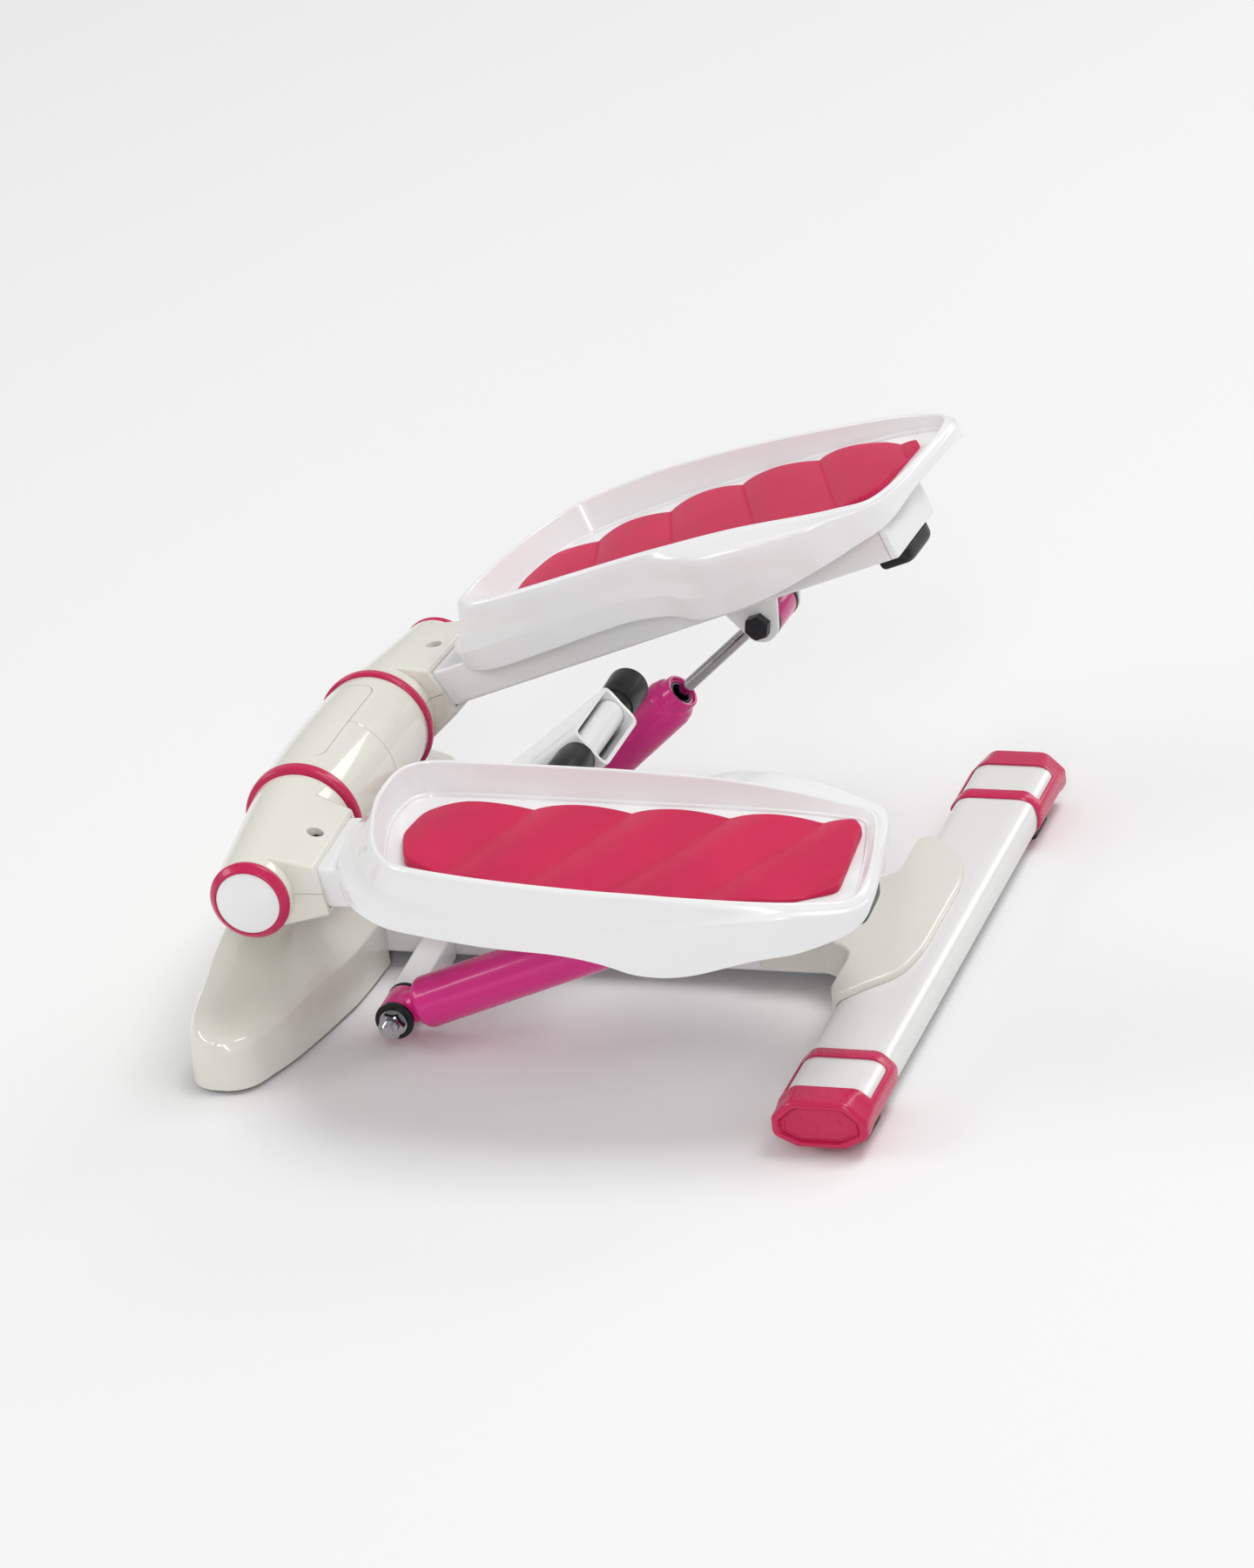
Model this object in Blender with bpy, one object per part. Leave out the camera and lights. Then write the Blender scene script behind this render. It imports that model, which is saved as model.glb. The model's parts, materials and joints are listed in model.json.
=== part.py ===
# A stair stepper: two foot pedals that step in turn about one front drum, each with its own damper.
# Metres. +X is the rider's right, +Y points to the drum, +Z is up, and Z = 0 is the floor.
import math

import bmesh
import bpy
from mathutils import Matrix, Vector

# Clearances
TOUCH_GAP = 0.0003
RUNNING_GAP = 0.00025
BEYOND = 0.002
SMOOTH_ANGLE = math.radians(32)
SIDES = {"left": -1, "right": 1}

# Pedal pivots
HUB_X = 0.1124
HUB_Y = 0.3363
AXIS_Z = 0.109
SPLAY = math.radians(2.6)
PITCH_LOW = 0.0
PITCH_HIGH = math.radians(21.2)
REST_PITCH = {"left": PITCH_LOW, "right": PITCH_HIGH}

# Rear bar and its end caps
BAR_HALF_LENGTH = 0.200
BAR_HALF_WIDTH = 0.0252
BAR_HALF_HEIGHT = 0.0125
BAR_CORNER = 0.0122
BAR_WALL = 0.002
BAR_Z = 0.0195
CAP_INNER_X = 0.1535
CAP_OUTER_X = 0.2165
CAP_HALF_WIDTH = 0.0270
CAP_TOP = 0.0334
CAP_BOTTOM = 0.0055
CAP_BOTTOM_HALF = 0.0195
CAP_KNEE_DROP = 0.004
CAP_CORNER = 0.012
CAP_FOOT_CORNER = 0.004
CAP_END_ROUND = 0.003
CAP_COLLAR_ROUND = 0.001
WINDOW_INNER_X = 0.1632
WINDOW_OUTER_X = 0.1975
WINDOW_SILL_Z = 0.0270
CAP_RECESS = 0.0015
CAP_RECESS_INSET = 0.0055
FOOT_HALF_WIDTH = 0.0195
FOOT_INNER_X = 0.166
FOOT_OUTER_X = 0.196
FOOT_CORNER = 0.004

# Centre beam and the cover where it meets the rear bar
BEAM_HALF_WIDTH = 0.030
BEAM_BOTTOM = 0.0095
BEAM_TOP = 0.0335
BEAM_CORNER = 0.004
BEAM_WALL = 0.002
COVER_WALL = 0.0027
COVER_BOTTOM = 0.014
COVER_NECK_Y = 0.088
COVER_SHOULDER = 0.004
# Half of the cover's outline from its rear edge to its tip and along the beam: x, y, corner radius
COVER_OUTLINE = (
    (0.0400, -0.0108, 0.030),
    (0.0680, -0.0060, 0.030),
    (0.0860, 0.0110, 0.020),
    (0.0970, 0.0180, 0.004),
    (0.0955, 0.0282, 0.003),
)
COVER_FILLET_X = 0.014
COVER_FILLET_Y = 0.0282
COVER_NECK_START = 0.050
COVER_BEAM_ROOM_Y = 0.010

# Front stand
STAND_FRONT_Y = 0.380
STAND_BOTTOM = 0.003
STAND_WALL = 0.0025
UPRIGHT_HALF_WIDTH = 0.020
UPRIGHT_HALF_DEPTH = 0.010
FOOT_BAR_HALF_LENGTH = 0.150
FOOT_BAR_REAR = 0.338
FOOT_BAR_FRONT = 0.366
FOOT_BAR_BOTTOM = 0.005
FOOT_BAR_TOP = 0.025
FRONT_PAD_INNER_X = 0.105
FRONT_PAD_OUTER_X = 0.142
FRONT_PAD_INSET = 0.005
# Each station of the stand's cover: distance from the middle, rear edge, front edge,
# height of the crease above the rear wall, and height of the ridge
STAND_STATIONS = (
    (0.000, 0.3110, 0.3800, 0.035, 0.0725),
    (0.070, 0.3125, 0.3800, 0.036, 0.0725),
    (0.100, 0.3165, 0.3800, 0.037, 0.0710),
    (0.125, 0.3210, 0.3800, 0.037, 0.0640),
    (0.147, 0.3260, 0.3800, 0.035, 0.0530),
    (0.165, 0.3320, 0.3800, 0.033, 0.0440),
    (0.178, 0.3370, 0.3755, 0.032, 0.0390),
    (0.185, 0.3435, 0.3690, 0.031, 0.0350),
    (0.188, 0.3510, 0.3615, 0.030, 0.0330),
)

# Drum, axle and the hidden link that makes the pedals step in turn
DRUM_HALF_LENGTH = 0.061
DRUM_END_RADIUS = 0.0322
DRUM_MID_RADIUS = 0.0340
DRUM_BORE = 0.0290
PANEL_HALF_LENGTH = 0.046
PANEL_REAR_ANGLE = math.radians(-15)
PANEL_FRONT_ANGLE = math.radians(62)
PANEL_FLOOR = 0.0310
RING_RADIUS = 0.0314
RING_BORE = 0.0222
AXLE_RADIUS = 0.008
AXLE_HEAD_RADIUS = 0.011
AXLE_HEAD_LENGTH = 0.004
FINGER_RADIUS = 0.0185
FINGER_HALF = 0.0025
FINGER_REACH = 0.063
SLOT_CLEARANCE = 0.0015
ROCKER_ARM = 0.052
ROCKER_HALF_LENGTH = 0.057
ROCKER_HALF_WIDTH = 0.009
ROCKER_HALF_HEIGHT = 0.0027
PIN_RADIUS = 0.004
PIN_SHOULDER = 0.006

# Pedal hub, in the pedal's own directions: a runs to the heel, b outwards and c up
HUB_HALF_LENGTH = 0.0463
HUB_INNER_RADIUS = 0.0307
HUB_OUTER_RADIUS = 0.0225
HUB_COVER_WALL = 0.0026
HUB_TUBE_RADIUS = 0.016
FLANGE_RADIUS = 0.021
FLANGE_THICKNESS = 0.0035
COLLAR_IN_B = -0.0340
COLLAR_OUT_B = 0.0395
COLLAR_WALL = 0.0032
COLLAR_TOP_A = 0.0355
COLLAR_BOTTOM_A = 0.0415
COLLAR_START_A = 0.009
COLLAR_START_C = 0.0222
COLLAR_HEEL_A = 0.012
COLLAR_HEEL_C = -0.0175
HUB_END_WALL = 0.0055
HEAD_ROOM = 0.0015
SPLIT_GAP = 0.0003
SCREW_A = 0.026
SCREW_B = 0.003
SCREW_HOLE_RADIUS = 0.0047
END_RING_RADIUS = 0.0224
END_RING_LENGTH = 0.0044
DOME_RADIUS = 0.0182
DOME_RISE = 0.0034

# Pedal arm
ARM_IN_B = -0.0301
ARM_OUT_B = 0.0355
ARM_BOTTOM = -0.0105
ARM_TOP = 0.0134
ARM_FRONT_A = 0.0164
ARM_REAR_A = 0.3365
ARM_WALL = 0.002
ARM_CORNER = 0.003
PLUG_THICKNESS = 0.0045
PLUG_INSERT = 0.010
BUMPER_FRONT_A = 0.320
BUMPER_REAR_A = 0.3440
BUMPER_DEPTH = 0.009
BUMPER_LIP = 0.002
BUMPER_ROUND = 0.004
BUMPER_IN_B = -0.020
BUMPER_OUT_B = 0.026

# Foot tray and pad. The floor falls towards the heel.
FLOOR_TOE_A = 0.080
FLOOR_TOE_HEIGHT = 0.0275
FLOOR_HEEL_A = 0.335
FLOOR_HEEL_HEIGHT = 0.0210
FLOOR_THICKNESS = 0.0030
TRAY_WALL = 0.0028
# The tray's outline, toe first and round the inner side: a, b, height of the rim, then reach and
# height of the shoulder, of the crease and of the skirt's edge. Reaches are outwards from the rim.
TRAY_STATIONS = (
    (0.0655, 0.0060, 0.0460, 0.0010, 0.0410, 0.0190, 0.0215, 0.0175, 0.0110),
    (0.0675, -0.0200, 0.0468, 0.0010, 0.0418, 0.0150, 0.0215, 0.0135, 0.0098),
    (0.0745, -0.0315, 0.0470, 0.0008, 0.0420, 0.0090, 0.0212, 0.0080, 0.0075),
    (0.0880, -0.0372, 0.0468, 0.0005, 0.0418, 0.0025, 0.0208, 0.0022, 0.0055),
    (0.1200, -0.0385, 0.0455, 0.0005, 0.0405, 0.0015, 0.0205, 0.0015, 0.0060),
    (0.1700, -0.0385, 0.0440, 0.0005, 0.0390, 0.0015, 0.0205, 0.0015, 0.0068),
    (0.2000, -0.0382, 0.0428, 0.0010, 0.0380, 0.0035, 0.0170, 0.0035, 0.0030),
    (0.2190, -0.0380, 0.0416, 0.0070, 0.0350, 0.0110, 0.0120, 0.0110, -0.0020),
    (0.2390, -0.0380, 0.0403, 0.0170, 0.0338, 0.0175, 0.0120, 0.0165, -0.0020),
    (0.2590, -0.0375, 0.0384, 0.0210, 0.0345, 0.0205, 0.0135, 0.0180, -0.0015),
    (0.2780, -0.0370, 0.0358, 0.0215, 0.0333, 0.0205, 0.0165, 0.0175, 0.0005),
    (0.3010, -0.0355, 0.0320, 0.0175, 0.0305, 0.0170, 0.0205, 0.0155, 0.0040),
    (0.3180, -0.0330, 0.0292, 0.0120, 0.0282, 0.0120, 0.0235, 0.0110, 0.0065),
    (0.3395, -0.0262, 0.0262, 0.0060, 0.0250, 0.0060, 0.0220, 0.0055, 0.0100),
    (0.3490, 0.0080, 0.0250, 0.0015, 0.0225, 0.0020, 0.0200, 0.0020, 0.0142),
    (0.3555, 0.0600, 0.0265, 0.0010, 0.0240, 0.0020, 0.0215, 0.0020, 0.0160),
    (0.3500, 0.0840, 0.0280, 0.0010, 0.0255, 0.0035, 0.0235, 0.0035, 0.0115),
    (0.3250, 0.0960, 0.0312, 0.0010, 0.0290, 0.0045, 0.0265, 0.0055, 0.0050),
    (0.3000, 0.1020, 0.0340, 0.0010, 0.0310, 0.0045, 0.0255, 0.0065, 0.0024),
    (0.2650, 0.1065, 0.0375, 0.0010, 0.0335, 0.0040, 0.0225, 0.0070, -0.0050),
    (0.2400, 0.1085, 0.0400, 0.0010, 0.0350, 0.0040, 0.0210, 0.0070, -0.0045),
    (0.2180, 0.1098, 0.0418, 0.0010, 0.0370, 0.0035, 0.0200, 0.0065, 0.0025),
    (0.1950, 0.1100, 0.0436, 0.0010, 0.0390, 0.0035, 0.0200, 0.0060, 0.0068),
    (0.1550, 0.1078, 0.0462, 0.0010, 0.0410, 0.0035, 0.0205, 0.0050, 0.0085),
    (0.1160, 0.0995, 0.0470, 0.0010, 0.0420, 0.0050, 0.0215, 0.0060, 0.0105),
    (0.0960, 0.0900, 0.0465, 0.0010, 0.0415, 0.0095, 0.0215, 0.0100, 0.0125),
    (0.0800, 0.0660, 0.0460, 0.0010, 0.0410, 0.0165, 0.0215, 0.0165, 0.0130),
    (0.0705, 0.0350, 0.0460, 0.0010, 0.0410, 0.0205, 0.0215, 0.0200, 0.0125),
)
TRAY_STEPS = 2
# Between shoulder and crease the wall is hollow: its share of the reach and of the drop there
WAIST_REACH = 0.35
WAIST_DROP = 0.60
RIM_INNER_INSET = 0.0035
RIM_OUTER_INSET = 0.0010
RIM_EDGE_DROP = 0.0008
SHOULDER_DROP = 0.0030
WALL_BASE_INSET = 0.0064
STEP_HEIGHT = 0.0018
LEDGE_INSET = 0.0082
FLOOR_WALL_INSET = 0.0040
RAIL_START_A = 0.075
RAIL_END_A = 0.338
RAIL_THICKNESS = 0.003
RAIL_INSET = 0.006
# The pad's outline, a and b, with the radius of each corner
PAD_OUTLINE = (
    (0.0880, -0.0060, 0.014),
    (0.1080, -0.0155, 0.030),
    (0.2000, -0.0175, 0.080),
    (0.3305, -0.0165, 0.004),
    (0.3360, -0.0070, 0.006),
    (0.3390, 0.0620, 0.008),
    (0.3120, 0.0785, 0.020),
    (0.2700, 0.0905, 0.060),
    (0.2000, 0.0900, 0.080),
    (0.1350, 0.0740, 0.060),
    (0.0950, 0.0570, 0.015),
    (0.0850, 0.0250, 0.030),
)
PAD_THICKNESS = 0.0040

# Damper and its mountings
UPPER_EYE_A = 0.238
UPPER_EYE_C = -0.0245
LOWER_EYE_A = 0.0610
LOWER_EYE_C = -0.0925
BODY_RADIUS = 0.015
BODY_TOP = 0.1498
BODY_NECK_RADIUS = 0.0108
BODY_NECK_LENGTH = 0.006
BODY_STEP = 0.0015
BODY_CHAMFER = 0.005
BODY_START = 0.0132
BODY_START_RADIUS = 0.0130
BODY_SHOULDER = 0.0155
BODY_STEM_RADIUS = 0.0095
BODY_BORE = 0.0074
BORE_START = 0.062
ROD_RADIUS = 0.0038
ROD_LENGTH = 0.100
EYE_RADIUS = 0.011
EYE_BORE = 0.0080
LOWER_EYE_HALF = 0.010
UPPER_EYE_HALF = 0.0132
FLANGE_RUBBER = 0.0027
WASHER_RADIUS = 0.0092
WASHER_THICKNESS = 0.0015
THREAD_LENGTH = 0.006
STUD_CORE_RADIUS = 0.0044
CARRIER_SEAT = 0.0025
SPACER_WALL = 0.003
LOWER_FLANGE_RADIUS = 0.0125
UPPER_FLANGE_RADIUS = 0.0112
STUD_RADIUS = 0.005
BOLT_RADIUS = 0.004
LUG_INNER_HALF = 0.0170
LUG_PLATE = 0.003
LUG_ROUND = 0.0112
LUG_TOP_HALF = 0.018
NUT_HALF = 0.0066
NUT_HEIGHT = 0.0058
CARRIER_HALF = 0.0085

# Centre post with its cross shaft
POST_HALF_WIDTH = 0.030
POST_ANGLE = math.radians(39)
POST_TOP_Y = 0.1840
POST_TOP_Z = 0.1560
POST_DEPTH = 0.028
POST_FRONT_Y = 0.3085
POST_WALL = 0.0025
POST_HOLLOW = 0.085
POST_CORNER = 0.006
SHAFT_RADIUS = 0.0085
SHAFT_INSET = 0.0095
SHAFT_HALF_LENGTH = 0.0648
SLEEVE_RADIUS = 0.0113
SLEEVE_END_RADIUS = 0.0121
SLEEVE_COLLAR_RADIUS = 0.0103
SLEEVE_COLLAR_LENGTH = 0.006
SLEEVE_OUTER_X = 0.0635

# Derived places
DRUM_Y = HUB_Y + (HUB_X - DRUM_HALF_LENGTH) * math.tan(SPLAY)
PITCH_MIDDLE = (PITCH_LOW + PITCH_HIGH) / 2
MIDDLE_Y = (STAND_FRONT_Y - CAP_HALF_WIDTH) / 2
POST_AXIS = Vector((0, math.cos(POST_ANGLE), -math.sin(POST_ANGLE)))
POST_NORMAL = Vector((0, math.sin(POST_ANGLE), math.cos(POST_ANGLE)))
POST_MOUTH = Vector((0, POST_TOP_Y, POST_TOP_Z)) - POST_NORMAL * (POST_DEPTH / 2)
SHAFT_CENTRE = POST_MOUTH + POST_AXIS * SHAFT_INSET

# Colours, as red, green, blue, with roughness and metallic value
FINISHES = {
    "white_plastic": ((0.88, 0.88, 0.89), 0.25, 0.0),
    "white_paint": ((0.84, 0.85, 0.87), 0.32, 0.0),
    "ivory_plastic": ((0.80, 0.79, 0.73), 0.28, 0.0),
    "bar_paint": ((0.70, 0.71, 0.73), 0.35, 0.0),
    "pink_plastic": ((0.62, 0.045, 0.12), 0.35, 0.0),
    "pad_rubber": ((0.63, 0.04, 0.11), 0.55, 0.0),
    "magenta_paint": ((0.50, 0.04, 0.20), 0.28, 0.0),
    "black_rubber": ((0.02, 0.02, 0.022), 0.6, 0.0),
    "black_steel": ((0.03, 0.03, 0.032), 0.35, 0.0),
    "chrome": ((0.75, 0.75, 0.77), 0.12, 1.0),
    "steel": ((0.45, 0.45, 0.47), 0.35, 1.0),
}


# Scene, materials and frames
def clear_scene():
    for item in list(bpy.data.objects):
        bpy.data.objects.remove(item, do_unlink=True)


def finish_material(name):
    material = bpy.data.materials.get(name)
    if material:
        return material
    colour, roughness, metallic = FINISHES[name]
    material = bpy.data.materials.new(name)
    material.use_nodes = True
    shader = material.node_tree.nodes["Principled BSDF"]
    shader.inputs["Base Color"].default_value = (*colour, 1)
    shader.inputs["Roughness"].default_value = roughness
    shader.inputs["Metallic"].default_value = metallic
    material.diffuse_color = (*colour, 1)
    return material


def make_frame(name, origin, splay=0.0, pitch=0.0, parent=None):
    """An empty whose X is a hinge axis; splay turns it about Z, pitch lifts its -Y side."""
    frame = bpy.data.objects.new(name, None)
    bpy.context.scene.collection.objects.link(frame)
    frame.location = origin
    frame.rotation_euler = (-pitch, 0, -splay)
    frame.parent = parent
    return frame


def put(name, mesh, finish, parent, smooth=True):
    """Close a bmesh into a named object with its own material, carried by a frame."""
    bmesh.ops.remove_doubles(mesh, verts=mesh.verts, dist=1e-6)
    bmesh.ops.recalc_face_normals(mesh, faces=mesh.faces)
    for face in mesh.faces:
        face.smooth = smooth
    for edge in mesh.edges:
        edge.smooth = edge.calc_face_angle(0.0) < SMOOTH_ANGLE
    data = bpy.data.meshes.new(name)
    mesh.to_mesh(data)
    mesh.free()
    item = bpy.data.objects.new(name, data)
    bpy.context.scene.collection.objects.link(item)
    item.data.materials.append(finish_material(finish))
    item.parent = parent
    return item


def put_cutter(name, mesh, parent, smooth=False):
    cutter = put(name, mesh, "steel", parent, smooth)
    cutter.hide_render = True
    cutter.display_type = "WIRE"
    return cutter


def combine(item, cutter, operation):
    modifier = item.modifiers.new(cutter.name, "BOOLEAN")
    modifier.operation = operation
    modifier.solver = "EXACT"
    modifier.object = cutter


# Shapes
def loft(loops, closed=False):
    """Skin a row of equal loops; a closed row joins its ends, an open one gets end faces."""
    mesh = bmesh.new()
    rows = [[mesh.verts.new(point) for point in loop] for loop in loops]
    count = len(rows[0])
    pairs = list(zip(rows, rows[1:]))
    if closed:
        pairs.append((rows[-1], rows[0]))
    for first, second in pairs:
        for index in range(count):
            following = (index + 1) % count
            mesh.faces.new((first[index], first[following], second[following], second[index]))
    if not closed:
        mesh.faces.new(rows[0][::-1])
        mesh.faces.new(rows[-1])
    return mesh


def ring(centre, axis, radius, count=32):
    """A circle of points about an axis, starting from the upward side."""
    axis = Vector(axis).normalized()
    side = Vector((0, 0, 1)) if abs(axis.z) < 0.9 else Vector((0, 1, 0))
    first = (side - axis * side.dot(axis)).normalized()
    second = axis.cross(first)
    turns = [2 * math.pi * index / count for index in range(count)]
    return [Vector(centre) + (first * math.cos(t) + second * math.sin(t)) * radius for t in turns]


def hexagon(centre, axis, half_width, count=24):
    """A hexagon with as many points as a ring, so that both can be skinned together."""
    points = ring(centre, axis, half_width, count)
    result = []
    for index, point in enumerate(points):
        turn = 2 * math.pi * index / count
        part = (turn + math.pi / 6) % (math.pi / 3) - math.pi / 6
        result.append(Vector(centre) + (point - Vector(centre)) / math.cos(part))
    return result


def turned(profile, origin, axis, count=32, closed=True):
    """A turned solid from (along, radius) pairs; a closed profile has a hole through it."""
    axis = Vector(axis).normalized()
    loops = [ring(Vector(origin) + axis * along, axis, radius, count) for along, radius in profile]
    return loft(loops, closed)


def rounded(corners, steps=4):
    """A closed outline from corners (u, v, radius), each corner an arc of that radius."""
    result = []
    count = len(corners)
    for index, (u, v, radius) in enumerate(corners):
        here = Vector((u, v))
        before = Vector(corners[index - 1][:2]) - here
        after = Vector(corners[(index + 1) % count][:2]) - here
        half = before.angle(after) / 2
        reach = min(radius / math.tan(half), 0.49 * before.length, 0.49 * after.length)
        if reach < 1e-5:
            result.append(here)
            continue
        start = here + before.normalized() * reach
        end = here + after.normalized() * reach
        for step in range(steps + 1):
            t = step / steps
            result.append(start * (1 - t) ** 2 + here * 2 * t * (1 - t) + end * t ** 2)
    return result


def rectangle(low_u, high_u, low_v, high_v, radius, steps=3):
    corners = ((low_u, low_v, radius), (high_u, low_v, radius),
               (high_u, high_v, radius), (low_u, high_v, radius))
    return rounded(corners, steps)


def along_x(outline, x):
    return [Vector((x, u, v)) for u, v in outline]


def along_y(outline, y):
    return [Vector((u, y, v)) for u, v in outline]


def along_z(outline, z):
    return [Vector((u, v, z)) for u, v in outline]


def block(low, high, radius=0.0, steps=2):
    """A box whose four upright edges are rounded."""
    outline = rectangle(low[0], high[0], low[1], high[1], radius, steps)
    return loft([along_z(outline, low[2]), along_z(outline, high[2])])


def pedal_point(side, a, b, c):
    return Vector((side * b, -a, c))


def smooth_loop(points, steps):
    """A smooth closed curve through the given points, of any number of values each."""
    result = []
    count = len(points)
    for index in range(count):
        p0, p1, p2, p3 = (points[(index + shift - 1) % count] for shift in range(4))
        for step in range(steps):
            t = step / steps
            result.append(tuple(
                0.5 * (2 * v1 + (v2 - v0) * t + (2 * v0 - 5 * v1 + 4 * v2 - v3) * t * t
                       + (3 * v1 - v0 - 3 * v2 + v3) * t ** 3)
                for v0, v1, v2, v3 in zip(p0, p1, p2, p3)))
    return result


# Rear bar, its caps and its feet
def bar_outline(offset=0.0):
    width = BAR_HALF_WIDTH + offset
    height = BAR_HALF_HEIGHT + offset
    return rectangle(-width, width, BAR_Z - height, BAR_Z + height, BAR_CORNER + offset, 5)


def make_rear_bar(parent):
    outer = bar_outline()
    inner = bar_outline(-BAR_WALL)
    ends = (-BAR_HALF_LENGTH, BAR_HALF_LENGTH)
    loops = [along_x(outer, ends[0]), along_x(outer, ends[1]),
             along_x(inner, ends[1]), along_x(inner, ends[0])]
    put("rear_bar", loft(loops, closed=True), "bar_paint", parent)


def cap_outline(inset=0.0):
    wide = CAP_HALF_WIDTH - inset
    low = CAP_BOTTOM_HALF - inset * 0.6
    bottom = CAP_BOTTOM + inset
    top = CAP_TOP - inset
    knee = BAR_Z - CAP_KNEE_DROP
    corner = CAP_CORNER - inset
    corners = ((-low, bottom, CAP_FOOT_CORNER), (low, bottom, CAP_FOOT_CORNER), (wide, knee, CAP_CORNER),
               (wide, top, corner), (-wide, top, corner), (-wide, knee, CAP_CORNER))
    return rounded(corners, 4)


def make_rear_caps(parent):
    for name, side in SIDES.items():
        stops = ((CAP_INNER_X, CAP_COLLAR_ROUND), (CAP_INNER_X + 2 * CAP_COLLAR_ROUND, 0),
                 (CAP_OUTER_X - CAP_END_ROUND, 0), (CAP_OUTER_X, CAP_END_ROUND * 0.8))
        shell = loft([along_x(cap_outline(inset), side * x) for x, inset in stops])
        cap = put(f"rear_cap_{name}", shell, "pink_plastic", parent)
        reach = (side * (CAP_INNER_X - 0.002), side * (BAR_HALF_LENGTH + TOUCH_GAP))
        socket = loft([along_x(bar_outline(TOUCH_GAP), x) for x in reach])
        combine(cap, put_cutter(f"cap_socket_{name}", socket, parent), "DIFFERENCE")
        xs = sorted((side * WINDOW_INNER_X, side * WINDOW_OUTER_X))
        reach = CAP_HALF_WIDTH + 0.01
        window = block((xs[0], -reach, WINDOW_SILL_Z), (xs[1], reach, CAP_TOP + 0.01))
        combine(cap, put_cutter(f"cap_window_{name}", window, parent), "DIFFERENCE")
        face = (side * (CAP_OUTER_X - CAP_RECESS), side * (CAP_OUTER_X + 0.002))
        recess = loft([along_x(cap_outline(CAP_RECESS_INSET), x) for x in face])
        combine(cap, put_cutter(f"cap_recess_{name}", recess, parent), "DIFFERENCE")
        xs = sorted((side * FOOT_INNER_X, side * FOOT_OUTER_X))
        low = (xs[0], -FOOT_HALF_WIDTH, 0)
        high = (xs[1], FOOT_HALF_WIDTH, CAP_BOTTOM - TOUCH_GAP)
        put(f"rear_foot_{name}", block(low, high, FOOT_CORNER), "black_rubber", parent)


# Centre beam and rear cover
def make_centre_beam(parent):
    outer = rectangle(-BEAM_HALF_WIDTH, BEAM_HALF_WIDTH, BEAM_BOTTOM, BEAM_TOP, BEAM_CORNER)
    inner = rectangle(-BEAM_HALF_WIDTH + BEAM_WALL, BEAM_HALF_WIDTH - BEAM_WALL,
                      BEAM_BOTTOM + BEAM_WALL, BEAM_TOP - BEAM_WALL, BEAM_CORNER - BEAM_WALL)
    rear = BAR_HALF_WIDTH + TOUCH_GAP
    front = DRUM_Y - UPRIGHT_HALF_DEPTH - TOUCH_GAP
    loops = [along_y(outer, rear), along_y(outer, front), along_y(inner, front), along_y(inner, rear)]
    put("centre_beam", loft(loops, closed=True), "white_paint", parent)


def make_rear_cover(parent):
    neck = BEAM_HALF_WIDTH + TOUCH_GAP + COVER_WALL
    half = COVER_OUTLINE + ((neck + COVER_FILLET_X, COVER_FILLET_Y, 0.014), (neck, COVER_NECK_START, 0.014),
                            (neck, COVER_NECK_Y, 0.003))
    mirrored = tuple((-x, y, radius) for x, y, radius in reversed(half))
    outline = rounded(half + mirrored, 3)
    top = BEAM_TOP + TOUCH_GAP + COVER_WALL
    middle = Vector((0, (COVER_FILLET_Y + COVER_OUTLINE[0][1]) / 2))
    shrunk = [point + (middle - point).normalized() * COVER_SHOULDER * 0.7 for point in outline]
    loops = [along_z(outline, COVER_BOTTOM), along_z(outline, top - COVER_SHOULDER), along_z(shrunk, top)]
    cover = put("rear_cover", loft(loops), "ivory_plastic", parent)
    reach = COVER_OUTLINE[-2][0] + 0.01
    over_bar = loft([along_x(bar_outline(TOUCH_GAP), x) for x in (-reach, reach)])
    combine(cover, put_cutter("cover_over_bar", over_bar, parent), "DIFFERENCE")
    low = (-BEAM_HALF_WIDTH - TOUCH_GAP, COVER_BEAM_ROOM_Y, COVER_BOTTOM - 0.004)
    high = (BEAM_HALF_WIDTH + TOUCH_GAP, COVER_NECK_Y + 0.01, BEAM_TOP + TOUCH_GAP)
    combine(cover, put_cutter("cover_over_beam", block(low, high), parent), "DIFFERENCE")
    low = (-reach, -0.05, COVER_BOTTOM - 0.004)
    high = (reach, 0.0, BAR_Z)
    combine(cover, put_cutter("cover_rear_trim", block(low, high), parent), "DIFFERENCE")


# Front stand
def stand_section(x, rear, front, crease, ridge):
    depth = front - rear
    points = ((rear, STAND_BOTTOM), (rear + 0.001, crease - 0.004), (rear + 0.005, crease),
              (rear + 0.45 * depth, crease + 0.55 * (ridge - crease)), (rear + 0.68 * depth, ridge),
              (front - 0.14 * depth, ridge - 0.0015), (front - 0.03 * depth, ridge - 0.010),
              (front, STAND_BOTTOM))
    return [Vector((x, y, z)) for y, z in points]


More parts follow.
